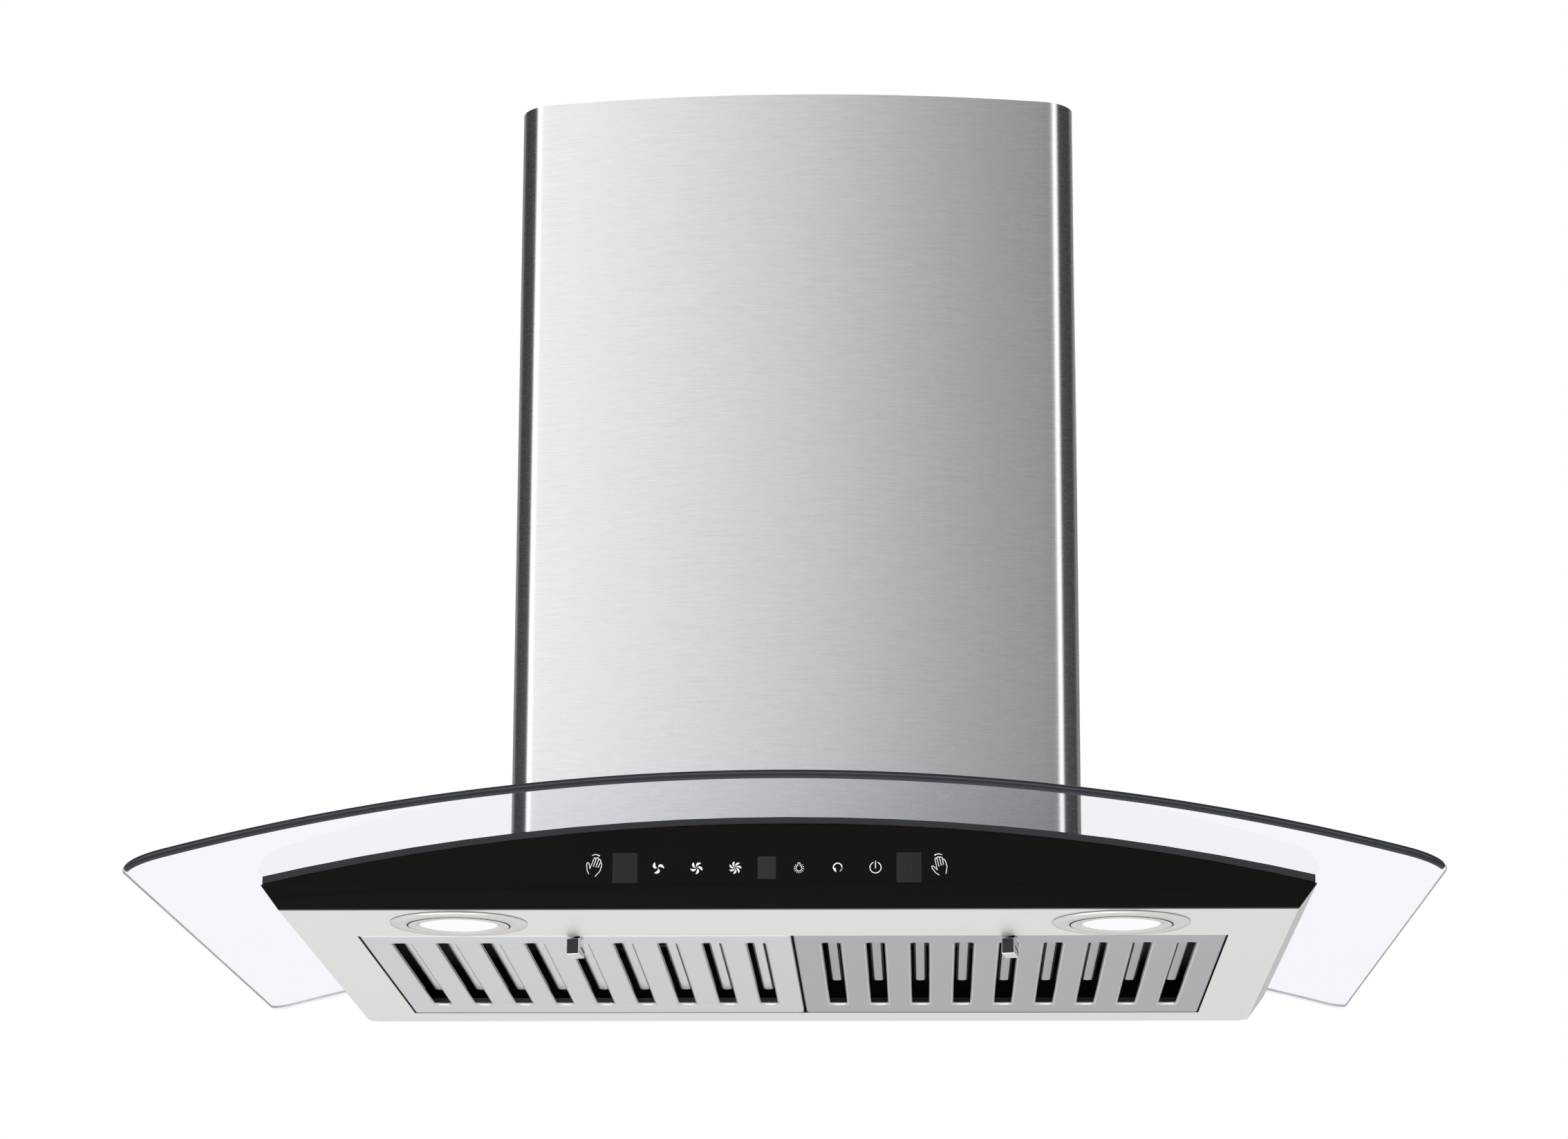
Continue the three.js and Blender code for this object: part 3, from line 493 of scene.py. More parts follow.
# Darker copies of the filter steel for the right filter and, darker still, its channels: painted
# shade, not a different steel.
filter_steel_grey = brushed("filter_steel_grey", rgb(174, 175, 180), 0.24, FILTER_GRAIN, 0.07,
                            relief=0.04)
channel_steel_painted_shade = brushed("channel_steel_painted_shade", rgb(160, 162, 168), 0.24, FILTER_GRAIN,
                             0.07, relief=0.04)
lip_steel = brushed("lip_steel", rgb(214, 215, 218), 0.2, EVEN_GRAIN, 0.03, relief=0.0)
# Dark steel for the body shell's inward faces: painted shade inside the hollow body.
painted_shade_steel = brushed("painted_shade_steel", rgb(62, 62, 63), 0.6, (60, 60, 60), 0.1)
polished_metal = brushed("polished_metal", rgb(222, 222, 226), 0.12, (300, 300, 300), 0.03,
                         relief=0.01)
bezel_steel = brushed("bezel_steel", rgb(228, 227, 224), 0.3, EVEN_GRAIN, 0.02, relief=0.0)

finishes = {
    "satin_steel": satin_steel,
    "cover_steel": cover_steel,
    "filter_steel": filter_steel,
    "galvanised": galvanised("galvanised"),
    "polished_metal": polished_metal,
    "motor_aluminium": cast("motor_aluminium", rgb(174, 178, 182), 0.42),
    "black_glass": black_glass(),
    "clear_glass": clear_glass(0.2),
    "dark_rubber": moulded("dark_rubber", rgb(46, 46, 51), 0.7, 600, 0.1),
    "black_plastic": moulded("black_plastic", rgb(32, 33, 36), 0.45),
    "grey_plastic": moulded("grey_plastic", rgb(141, 144, 148), 0.5),
    "white_plastic": moulded("white_plastic", rgb(233, 233, 230), 0.45),
    "frosted_lens": frosted_lens(),
    "circuit_board": circuit_board(),
    "display_window": moulded("display_window", rgb(58, 54, 52), 0.3),
}
# Painted shade: the dark colour of the front rim.
painted_shade_edge = glass_edge("glass_edge_front", rgb(46, 50, 56), 0.2)
# Painted highlight: a lighter colour for the middle step of the front rim, drawn as a light line.
painted_highlight_edge = glass_edge("glass_edge_glint", rgb(86, 88, 95), 0.2)
# Painted light: the pale outline on the outermost steps of the other rims.
painted_light_edge = glass_edge("glass_edge_side", rgb(214, 216, 216), 0.3)
white_print_painted_glow = printed_with_painted_glow("white_print_painted_glow", rgb(240, 240, 238))
sensor_mesh = hatched("sensor_mesh", rgb(62, 58, 55), 0.45)
display_face = hatched("display_face", rgb(60, 57, 54), 0.9)


# ---- Glass canopy ----

def corner_dip(x, half_width, radius):
    """How far a round-cornered edge falls back at x."""
    past = abs(x) - (half_width - radius)
    return 0.0 if past <= 0 else radius - math.sqrt(max(0.0, radius * radius - past * past))


def boundary_loops(faces):
    """The outlines of a set of faces, each followed with the faces on its left."""
    directed = {(f[i], f[(i + 1) % len(f)]) for f in faces for i in range(len(f))}
    follow = {a: b for a, b in directed if (b, a) not in directed}
    loops = []
    while follow:
        start = min(follow)
        loop = [start]
        while follow[loop[-1]] != start:
            loop.append(follow[loop[-1]])
        for key in loop:
            del follow[key]
        loops.append(loop)
    return loops


def glass_canopy():
    rim = GLASS_THICKNESS / 2     # the edges are polished half round
    half = glass_high.x - rim
    front, back = glass_low.y + rim, glass_high.y - rim
    front_radius, back_radius = GLASS_CORNER_FRONT - rim, GLASS_CORNER_BACK - rim
    hole_half, hole_radius = CUTOUT_HALF_WIDTH + rim, CUTOUT_CORNER + rim
    hole_front, hole_back = CUTOUT_FRONT - rim, CUTOUT_BACK + rim

    marks = {0.0}
    for edge, radius in ((half, front_radius), (half, back_radius), (hole_half, hole_radius)):
        marks |= {edge - radius + radius * math.sin(a) for a in quarter_turn(8)}
    strips = [i * GLASS_STRIP for i in range(1, 36)]
    marks |= {x for x in strips if abs(x - hole_half) > hole_radius}
    columns = sorted({round(s * m, 6) for m in marks for s in (-1, 1)})

    def rows(x):
        hole_dip = corner_dip(x, hole_half, hole_radius) if abs(x) < hole_half else hole_radius
        return (front + corner_dip(x, half, front_radius), hole_front + hole_dip,
                hole_back - hole_dip, back - corner_dip(x, half, back_radius))

    def drawn_in(x, y):
        outer_share = max(0.0, (abs(x) - hole_half) / (half - hole_half))
        taper = GLASS_TAPER * outer_share * (y - front) / (back - front)
        return (x - math.copysign(taper, x), y)

    points = {(i, j): drawn_in(x, y) for i, x in enumerate(columns) for j, y in enumerate(rows(x))}
    quads = []
    for i in range(len(columns) - 1):
        middle = (columns[i] + columns[i + 1]) / 2
        for j in range(3):
            if j == 1 and abs(middle) < hole_half:
                continue
            quads.append(((i, j), (i + 1, j), (i + 1, j + 1), (i, j + 1)))

    form = Form()
    under = {k: form.bm.verts.new((x, y, glass_under(x))) for k, (x, y) in points.items()}
    top = {k: form.bm.verts.new((x, y, glass_top(x))) for k, (x, y) in points.items()}
    for quad in quads:
        form.face([top[k] for k in quad])
        form.face([under[k] for k in reversed(quad)])
    edge_steps = 10
    clear, dark, pale, painted_highlight_step = range(4)
    for keys in boundary_loops(quads):
        loop = [points[k] for k in keys]
        normals = outward(loop)
        rings = [[under[k] for k in keys]]
        for step in range(1, edge_steps):
            angle = math.pi * (step / edge_steps - 0.5)
            ring = []
            for (x, y), n in zip(loop, normals):
                x, y = x + rim * math.cos(angle) * n.x, y + rim * math.cos(angle) * n.y
                low, high = glass_under(x), glass_top(x)
                ring.append((x, y, (low + high) / 2 + (high - low) / 2 * math.sin(angle)))
            rings.append(form.ring(ring))
        rings.append([top[k] for k in keys])
        for step, (first, second) in enumerate(zip(rings, rings[1:])):
            outermost = abs(step + 0.5 - edge_steps / 2) < 1
            for i in range(len(keys)):
                j = (i + 1) % len(keys)
                is_front = (normals[i] + normals[j]).y < -0.8
                # Front rim steps take the painted shade colour; the other rims' outermost steps
                # take the painted light outline.
                material = clear
                if is_front:
                    # The front rim's middle step takes the painted highlight colour.
                    material = painted_highlight_step if step == edge_steps // 2 else dark
                elif outermost:
                    material = pale
                form.face((first[i], first[j], second[j], second[i]), material)
    form.piece("glass_sheet", "hood",
               [finishes["clear_glass"], painted_shade_edge, painted_light_edge, painted_highlight_edge],
               ["glass_canopy"], sharp=60)


# ---- Control fascia and its print ----

FASCIA_STEPS = 72


def control_fascia():
    half, shoulder = body_high.x - BODY_LEAN, fascia_high.x
    loop = [(-half, UNDERSIDE), (half, UNDERSIDE)]
    for i in range(FASCIA_STEPS + 1):
        x = shoulder * (1 - 2 * i / FASCIA_STEPS)
        loop.append((x, body_top(x)))
    form = Form()
    form.plate(loop, fascia_high.y - fascia_low.y, 0.5 * MM,
               lambda u, v, w: (u, fascia_low.y + w, v))
    form.piece("fascia_panel", "hood", [finishes["black_glass"]], ["control_fascia"])


PRINT_LIFT = 0.06 * MM            # the print stands this far off the glass, so that it shows
PRINT_DEPTH = 0.05 * MM


def on_fascia(x, z):
    """Puts a mark's own (u, v, w) on the fascia, round a point."""
    front = fascia_low.y - PRINT_LIFT
    return lambda u, v, w: (x + u, front + w, z + v)


def mark_rim(form, loop, place):
    """A mark's front and back outlines, joined to each other."""
    front = form.ring(place(u, v, 0) for u, v in loop)
    back = form.ring(place(u, v, PRINT_DEPTH) for u, v in loop)
    form.band(front, back)
    return front, back


def stroke(form, points, width, place):
    """A line of even width with square ends."""
    line = [Vector(p) for p in points]
    left, right = [], []
    for i, point in enumerate(line):
        before = (point - line[i - 1]).normalized() if i else (line[1] - point).normalized()
        after = (line[i + 1] - point).normalized() if i < len(line) - 1 else before
        along = (before + after).normalized()
        reach = width / 2 / max(0.4, along.dot(after))
        across = Vector((-along.y, along.x)) * reach
        left.append(point + across)
        right.append(point - across)
    count = len(line)
    for ring in mark_rim(form, [tuple(p) for p in right + left[::-1]], place):
        for i in range(count - 1):
            form.face((ring[i], ring[i + 1], ring[2 * count - 2 - i], ring[2 * count - 1 - i]))


def arc(x, y, radius, start, end, steps=12):
    """Points round a centre, from one angle in degrees to another."""
    angles = [math.radians(start + (end - start) * i / steps) for i in range(steps + 1)]
    return [(x + radius * math.cos(a), y + radius * math.sin(a)) for a in angles]


def blot(form, loop, place):
    """A filled mark."""
    for ring in mark_rim(form, loop, place):
        form.face(ring)


FAN_SWEEP = {3: 1.0, 5: 0.72, 7: 0.56}  # a blade's share of its full sweep, by their number


def fan_mark(form, place, blades):
    """A fan wheel of comma-shaped blades."""
    narrow = FAN_SWEEP[blades]
    for i in range(blades):
        tip = 360 * i / blades + (-6 if blades == 3 else 44)
        convex = ((0.25, 66), (1.2, 81), (2.0, 76), (2.8, 58), (3.3, 41), (3.65, 21), (3.75, 0))
        concave = ((3.0, 8), (2.3, 14), (1.5, 36), (0.8, 51))
        loop = []
        for radius, ahead in convex + concave:
            angle = math.radians(tip + narrow * ahead)
            loop.append((radius * MM * math.cos(angle), radius * MM * math.sin(angle)))
        blot(form, loop, place)


def lamp_mark(form, place):
    """A bulb with rays round it."""
    width = 0.38 * MM
    bulb_z = -0.3 * MM
    stroke(form, arc(0, bulb_z, 1.75 * MM, 112, 428, 28), width, place)
    for side in (-1, 1):
        stroke(form, [(side * 0.68 * MM, 1.35 * MM), (side * 0.62 * MM, 2.9 * MM)], width, place)
    stroke(form, [(-0.8 * MM, 2.8 * MM), (0.8 * MM, 2.8 * MM)], width, place)
    for i in range(11):
        angle = math.radians(-90 + (i - 5) * 27)
        inner, outer = 2.35 * MM, 3.05 * MM
        ray = [(r * math.cos(angle), r * math.sin(angle) + bulb_z) for r in (inner, outer)]
        stroke(form, ray, 0.42 * MM, place)


def timer_mark(form, place):
    """An arrow that runs round and breaks into dashes."""
    stroke(form, arc(0, 0, 2.6 * MM, 6, 190, 22), 0.65 * MM, place)
    blot(form, in_mm([(-2.9, -0.1), (-1.2, -0.3), (-0.8, -2.9), (-2.1, -1.9)]), place)
    for angle in (-7, -24, -40, -55):
        stroke(form, arc(0, 0, 2.6 * MM, angle - 4, angle + 4, 2), 0.6 * MM, place)


def power_mark(form, place):
    stroke(form, arc(0, 0, 3.3 * MM, 112, 428, 32), 0.5 * MM, place)
    stroke(form, [(0, -0.6 * MM), (0, 4.0 * MM)], 0.5 * MM, place)


HAND_STROKES = (                  # thumb, three fingers, then the last finger and the heel
    ((-3.2, -4.2), (-4.2, -1.9), (-4.5, 1.8), (-3.9, 2.7), (-3.1, 2.2), (-2.5, -0.9), (-0.2, 4.9),
     (0.3, 5.6), (0.9, 5.4), (1.1, 4.7), (-0.5, 0.2)),
    ((1.1, 4.7), (1.5, 5.4), (2.2, 5.6), (2.8, 4.9), (1.0, -0.1)),
    ((2.8, 4.6), (3.4, 4.5), (4.0, 3.8), (3.9, 3.2), (2.3, -0.3)),
    ((3.8, 2.6), (4.4, 2.3), (4.5, 1.4), (4.3, 0.2), (3.4, -2.6), (0.5, -5.8)),
)


def hand_mark(form, place, turn, wave_side):
    """An open hand, and over it the stroke that says to wave it."""
    lean = Matrix.Rotation(math.radians(turn), 2)
    for strokes in HAND_STROKES:
        stroke(form, [tuple(lean @ Vector(point) * MM) for point in strokes], 0.42 * MM, place)
    wave = arc(0.8 * wave_side * MM, 4.0 * MM, 3.5 * MM, 125, 55, 8)
    stroke(form, wave, 0.45 * MM, place)
    end = Vector(wave[-1] if wave_side > 0 else wave[0])
    blot(form, arc(end.x, end.y, 0.48 * MM, 0, 315, 7), place)


def print_icon(name, x, z, draw, *more):
    form = Form()
    draw(form, on_fascia(x, z), *more)
    form.piece(name, "hood", [white_print_painted_glow])


def window(name, behind, material):
    """A thin tinted plate let into the fascia's face, before a sensor or the display."""
    low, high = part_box(behind)
    half_width, half_height = (high.x - low.x) / 2, (high.z - low.z) / 2
    corner = 0.6 * MM
    loop = rounded_loop(half_width, -half_height, half_height, corner, corner, 3)
    form = Form()
    form.plate(loop, PRINT_DEPTH, 0.01 * MM, on_fascia((low.x + high.x) / 2, CONTROLS_Z))
    form.piece(name, "hood", [material])


def fascia_print():
    for name, offset, blades in (("low", -64.9, 3), ("medium", -41.8, 5), ("high", -18.8, 7)):
        print_icon(f"fan_mark_{name}", CONTROLS_X + offset * MM, CONTROLS_Z, fan_mark, blades)
    for name, offset, draw in (("lamp_mark", 19.1, lamp_mark), ("timer_mark", 42.1, timer_mark),
                               ("power_mark", 64.6, power_mark)):
        print_icon(name, CONTROLS_X + offset * MM, CONTROLS_Z, draw)
    for side, name, turn in ((-1, "left", 0), (1, "right", 33)):
        x = CONTROLS_X + side * 102.8 * MM
        print_icon(f"hand_mark_{name}", x, CONTROLS_Z + 0.6 * MM, hand_mark, turn, -side)
        window(f"sensor_window_{name}", f"gesture_sensor_{name}", sensor_mesh)
    window("display_window", "display_module", display_face)


# ---- Lamps ----

LAMP_GROOVE = 31 * MM             # the groove between the lamp's two rings, coloured black as painted shade
LAMP_CAN = 28 * MM                # inside of the can behind the rings
LAMP_CAN_OUTSIDE = 30.4 * MM
LAMP_CAN_TOP = 12 * MM


def lamp(name):
    low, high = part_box(f"lamp_ring_{name}")
    centre = ((low.x + high.x) / 2, (low.y + high.y) / 2, UNDERSIDE)
    rim = (high.x - low.x) / 2
    lens_low, lens_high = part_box(f"lamp_lens_{name}")
    lens = (lens_high.x - lens_low.x) / 2
    groove = LAMP_GROOVE
    outer_ring = [(rim, -0.3 * MM), (rim, -0.9 * MM), (rim - 0.5 * MM, -1.4 * MM),
                  (rim - 1.6 * MM, -1.7 * MM), (groove + 1.0 * MM, -2.1 * MM)]
    painted_shade_groove = [(groove + 0.4 * MM, -1.9 * MM), (groove + 0.3 * MM, -1.0 * MM),
                   (groove - 0.4 * MM, -1.0 * MM)]
    inner_ring = [(groove - 0.5 * MM, -2.2 * MM), (groove - 1.2 * MM, -2.5 * MM),
                  (lens + 1.6 * MM, -2.2 * MM), (lens + 0.6 * MM, -1.7 * MM),
                  (lens + 0.4 * MM, -0.4 * MM), (lens + 0.4 * MM, 1 * MM)]
    can = [(LAMP_CAN, 1 * MM), (LAMP_CAN, LAMP_CAN_TOP), (LAMP_CAN_OUTSIDE, LAMP_CAN_TOP),
           (LAMP_CAN_OUTSIDE, -0.3 * MM), (rim, -0.3 * MM)]
    # The groove's faces take the black plastic finish, as painted shade in the groove.
    materials = [0] * len(outer_ring) + [1] * len(painted_shade_groove) + [0] * len(inner_ring + can)
    form = Form()
    form.turned(outer_ring + painted_shade_groove + inner_ring + can, centre, materials=materials)
    bmesh.ops.remove_doubles(form.bm, verts=form.bm.verts, dist=1e-6)
    form.piece(f"lamp_bezel_{name}", "hood",
               [bezel_steel, finishes["black_plastic"]], [f"lamp_ring_{name}"])
    form = Form()
    dome = [(lens * math.sin(a), -1.2 * MM - 1.3 * MM * math.cos(a)) for a in quarter_turn(8)]
    dome[0] = (0, dome[0][1])
    form.turned(dome + [(lens, 1 * MM), (0, 1 * MM)], centre, segments=72)
    form.piece(f"lamp_glass_{name}", "hood", [finishes["frosted_lens"]],
               [f"lamp_lens_{name}"])


# ---- Baffle filters and their latches ----

LIP_RADIUS = 1.5 * MM             # the rolled lips round the slots
LIP_HEIGHT = 2.0 * MM
FRAME_BEND = 1.3 * MM
FRAME_CORNER = 1.5 * MM
TONGUE_X = 80 * MM                # the two rear tongues that the filter hangs by
TONGUE_HALF_WIDTH = 10 * MM
TONGUE_RISE = 1.6 * MM
TONGUE_SHEET = 1.0 * MM
CHANNEL_FLOOR = 7.2 * MM          # the upper channels hang this far above the filter's face
CHANNEL_HALF_WIDTH = 4.0 * MM
CHANNEL_HEIGHT = 1.8 * MM
CHANNEL_BEND = 1.7 * MM
CHANNEL_CORNER = 3 * MM
CHANNEL_LEAD = 8 * MM             # they start this far in front of the slots
CHANNEL_SHEET = 0.6 * MM
STRAP_PLACES = (-2 * MM, 30 * MM)  # behind the front ends of the slots
STRAP_WIDTH = 10 * MM
STRAP_SHEET = 0.8 * MM
STRAP_GAP = 0.05 * MM


def slot_loops(x, front, back, half_width):
    first = x - (SLOT_COUNT - 1) / 2 * SLOT_PITCH
    return [rounded_loop(half_width, front, back, SLOT_CORNER, SLOT_CORNER, 5,
                         first + i * SLOT_PITCH)
            for i in range(SLOT_COUNT)]


def keep_flats_flat(obj):
    """Lets a wide flat face keep its own shading where a small bend meets it."""
    modifier = obj.modifiers.new("flats", "WEIGHTED_NORMAL")
    modifier.keep_sharp = True
    modifier.weight = 100


def filter_panel(name, reach, steel, channel_steel):
    """The slotted face, and above it the channels, which cover a share of the slots' length."""
    low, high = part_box(f"filter_frame_{name}")
    x = (low.x + high.x) / 2
    half = (high.x - low.x) / 2
    rear = low.y + FILTER_DEPTH   # the tongues stand out behind this wall
    front = low.y
    slot_front, slot_back = front + SLOT_FRONT_MARGIN, rear - SLOT_REAR_MARGIN

    form = Form()
    outer = rounded_loop(half - FRAME_BEND, front + FRAME_BEND, rear - FRAME_BEND,
                         FRAME_CORNER, FRAME_CORNER, 4, x)
    wall = form.sweep(outer, hem(FRAME_BEND, high.z - low.z, FILTER_SHEET), low.z)
    slots = slot_loops(x, slot_front - LIP_RADIUS, slot_back + LIP_RADIUS,
                       SLOT_HALF_WIDTH + LIP_RADIUS)
    lips = [form.sweep(loop, hem(LIP_RADIUS, LIP_HEIGHT, FILTER_SHEET), low.z, True, 1)
            for loop in slots]
    stem = rounded_loop(3.0 * MM, front + 3.3 * MM, front + 13.6 * MM, 0.5 * MM, 0.5 * MM, 2, x)
    lips.append(form.sweep(stem, [(0, 0), (0, FILTER_SHEET)], low.z, True))
    for skin in (0, 1):
        form.fill([wall[skin]] + [lip[skin] for lip in lips])
    for side in (-1, 1):
        middle = x + side * TONGUE_X
        form.block((middle - TONGUE_HALF_WIDTH, rear - 1.5 * MM, low.z + TONGUE_RISE),
                   (middle + TONGUE_HALF_WIDTH, high.y, low.z + TONGUE_RISE + TONGUE_SHEET))
    panel = form.piece(f"filter_panel_{name}", f"filter_{name}", [steel, lip_steel],
                       [f"filter_frame_{name}"])
    keep_flats_flat(panel)

    form = Form()
    channel_floor = low.z + CHANNEL_FLOOR
    channel_back = slot_front + reach * (slot_back - slot_front)
    for i in range(SLOT_COUNT):
        middle = x + (i - (SLOT_COUNT - 1) / 2) * SLOT_PITCH
        loop = rounded_loop(CHANNEL_HALF_WIDTH - CHANNEL_BEND, slot_front - CHANNEL_LEAD,
                            channel_back - CHANNEL_BEND, CHANNEL_CORNER, CHANNEL_CORNER, 4, middle)
        section = hem(CHANNEL_BEND, CHANNEL_HEIGHT, CHANNEL_SHEET, 4)
        for skin in form.sweep(loop, section, channel_floor):
            form.fill([skin])
    strap_low = channel_floor + CHANNEL_HEIGHT + STRAP_GAP
    for place in STRAP_PLACES:
        y = slot_front + place
        form.block((x - half + 2 * MM, y, strap_low),
                   (x + half - 2 * MM, y + STRAP_WIDTH, strap_low + STRAP_SHEET))
    form.piece(f"baffle_channels_{name}", f"filter_{name}", [channel_steel],
               [f"filter_baffle_{name}"])


GRIP_HALF_WIDTH = 4.1 * MM
GRIP_TURN = math.radians(-15)


def latch_grip(name):
    """A polished grip under the filter's front edge, with a dark inlay in its face."""
    knob_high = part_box(f"latch_knob_{name}")[1]
    frame_low, frame_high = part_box(f"filter_frame_{name}")
    x = (frame_low.x + frame_high.x) / 2
    stem_y = frame_low.y + 5.5 * MM
    face = frame_low.z
    turn = Matrix.Rotation(GRIP_TURN, 3, "Z")

    def place(u, v, w):
        """u runs to the rear, v up and w across the grip."""
        return turn @ Vector((w - GRIP_HALF_WIDTH, u, v)) + Vector((x, stem_y, face))

    heel = arc(-1.0 * MM, -9.4 * MM, 7.6 * MM, 2, 58, 8)
    side = [(-4.5, -1.2), (-4.5, -10.4), (-4.2, -10.7), (6.3, -11.95), (6.6, -11.6)]
    collar = [(-4.9, -1.2), (4.6, -1.2), (4.2, -0.3), (-4.5, -0.3)]
    form = Form()
    form.plate(in_mm(side) + heel + [(2.0 * MM, -1.2 * MM)], 2 * GRIP_HALF_WIDTH, 0.45 * MM, place)
    form.plate(in_mm(collar), 2 * GRIP_HALF_WIDTH + 0.6 * MM, 0.15 * MM,
               lambda u, v, w: place(u, v, w - 0.3 * MM))
    form.block((x - 2.5 * MM, stem_y - 1.5 * MM, face - 0.5 * MM),
               (x + 2.5 * MM, stem_y + 1.5 * MM, face + 1.8 * MM))
    form.block((x - 4 * MM, frame_low.y + 1.6 * MM, face + 1.3 * MM),
               (x + 4 * MM, knob_high.y, face + 5 * MM))
    body = f"latch_{name}"
    form.piece(f"latch_grip_{name}", body, [polished_metal],
               [f"latch_knob_{name}"])

    form = Form()
    inlay = rounded_loop(3.6 * MM, -10.3 * MM, -1.3 * MM, 0.4 * MM, 0.4 * MM, 3)
    form.plate(inlay, 0.4 * MM, 0.1 * MM,
               lambda u, v, w: place(-4.8 * MM + w, v, u + GRIP_HALF_WIDTH))
    form.piece(f"latch_inlay_{name}", body, [finishes["black_plastic"]])


# ---- Chimney covers ----

def cover_path(half_width, front, rear, bend, corner, flange):
    """The plan of a cover's outer skin, from its left rear flange round to the right one."""
    corner_x = half_width - corner
    bend_y = front + bend
    corner_y = bend_y - math.sqrt((bend - corner) ** 2 - corner_x ** 2)
    tilt = math.degrees(math.asin(corner_x / (bend - corner)))
    right = arc(0, bend_y, bend, -90, -90 + tilt, 32)
    right += arc(corner_x, corner_y, corner, -90 + tilt, 0, 18)[1:]
    right += [(half_width, VENT_FRONT), (half_width, VENT_BACK)]
    right += arc(half_width - COVER_FOLD, rear - COVER_FOLD, COVER_FOLD, 0, 90, 4)
    right += [(half_width - flange, rear)]
    left = [(-x, y) for x, y in right[:0:-1]]
    return left + right


def settle(obj, sharp):
    """Makes an object's modifiers part of its mesh, and shades the outcome afresh."""
    bpy.context.view_layer.update()
    graph = bpy.context.evaluated_depsgraph_get()
    obj.data = bpy.data.meshes.new_from_object(obj.evaluated_get(graph))
    obj.modifiers.clear()
    obj.data.shade_smooth()
    obj.data.set_sharp_from_angle(angle=math.radians(sharp))


def chimney_cover(name, path, bottom, top, body, replaced):
    """An open-backed cover with vents through both sides."""
    heights = []
    for i in range(VENT_COUNT):
        start = VENT_LOWEST + i * VENT_PITCH
        heights += [start, start + VENT_HEIGHT]
    middle = [bottom(0) + (heights[0] - bottom(0)) * share for share in (0.25, 0.5, 0.75)]
    form = Form()
    rows = [form.ring((x, y, bottom(x)) for x, y in path)]
    rows += [form.ring((x, y, z) for x, y in path) for z in middle + heights + [top]]
    first_vent = len(middle) + 1
    for k, (lower, upper) in enumerate(zip(rows, rows[1:])):
        vent_row = k >= first_vent and (k - first_vent) % 2 == 0 and k < len(rows) - 2
        for i in range(len(path) - 1):
            in_vent = {path[i][1], path[i + 1][1]} == {VENT_FRONT, VENT_BACK}
            if not (vent_row and in_vent):
                form.face((lower[i], lower[i + 1], upper[i + 1], upper[i]))
    obj = form.piece(name, body, [cover_steel], replaced, sharp=40, closed=False)
    solidify = obj.modifiers.new("sheet", "SOLIDIFY")
    solidify.thickness = COVER_SHEET
    solidify.offset = -1
    solidify.use_even_offset = True
    settle(obj, 40)


def chimney():
    lower = cover_path(cover_high.x, cover_low.y, cover_high.y, COVER_BEND, COVER_CORNER, 14 * MM)
    chimney_cover("lower_chimney", lower, lambda x: glass_top(x) + 0.4 * MM, cover_high.z, "hood",
                  ["lower_cover"])
    nest = cover_high.x - upper_high.x
    upper = cover_path(upper_high.x, upper_low.y, upper_high.y, COVER_BEND - nest,
                       COVER_CORNER - nest, 25 * MM)
    chimney_cover("upper_chimney", upper, lambda x: upper_low.z, upper_high.z, "upper_chimney",
                  ["upper_cover"])


# ---- Screws ----

HEAD_RADIUS = 3.6 * MM
HEAD_HEIGHT = 1.6 * MM
SHANK_RADIUS = 2 * MM


def screw(name, body, slot, axis):
    """A pan-head screw with a cross recess, in a CAD screw's place."""
    low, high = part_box(name)
    axis = Vector(axis)
    middle = (low + high) / 2
    length = abs((high - low).dot(axis))
    seat = middle + axis * (length / 2 - HEAD_HEIGHT)
    form = Form()
    dome = [(HEAD_RADIUS * math.sin(a), HEAD_HEIGHT * (0.35 + 0.65 * math.cos(a)))
            for a in quarter_turn(6)]
    dome[0] = (0, dome[0][1])
    form.turned(dome + [(HEAD_RADIUS, 0), (SHANK_RADIUS, 0), (SHANK_RADIUS, HEAD_HEIGHT - length),
                        (0, HEAD_HEIGHT - length)], seat, axis, 32)
    obj = form.piece(f"{name}_head", body, [finishes[slot]], [name])
    cutter_form = Form()
    for along in (0, 1):
        reach = [0.55 * HEAD_RADIUS, 0.12 * HEAD_RADIUS]
        half_x, half_y = reach[along], reach[1 - along]
        cutter_form.block((-half_x, -half_y, 0.35 * HEAD_HEIGHT), (half_x, half_y, 2 * HEAD_HEIGHT))
    cutter = cutter_form.object("cross")
    turn = Vector((0, 0, 1)).rotation_difference(axis).to_matrix().to_4x4()
    cutter.matrix_world = Matrix.Translation(seat) @ turn @ Matrix.Rotation(0.5, 4, "Z")
    boolean = obj.modifiers.new("recess", "BOOLEAN")
    boolean.object = cutter
    boolean.use_self = True
    settle(obj, 35)
    bpy.data.objects.remove(cutter)


# ---- CAD nodes that stay: softened edges, their own finishes, and painted shade inside the body shell ----

EDGE_WIDTHS = {
    "body_shell": 0.9 * MM, "glass_seal": 0.5 * MM, "control_box_base": 1.2 * MM,
    "control_box_lid": 1.2 * MM, "led_driver": 1.5 * MM, "capacitor": 1.5 * MM, "motor": 2 * MM,
}
USUAL_EDGE = 0.3 * MM


def soften(name, node):
    """Rounds a CAD node's edges and shades it smoothly, with modifiers alone."""
    weld = node.modifiers.new("weld", "WELD")
    weld.merge_threshold = 1e-6
    bevel = node.modifiers.new("soft_edges", "BEVEL")
    bevel.width = EDGE_WIDTHS.get(name, USUAL_EDGE)
    bevel.segments = 2
    bevel.limit_method = "ANGLE"
    bevel.angle_limit = math.radians(38)
    bevel.use_clamp_overlap = True
    node.modifiers.new("shading", "WEIGHTED_NORMAL").keep_sharp = False


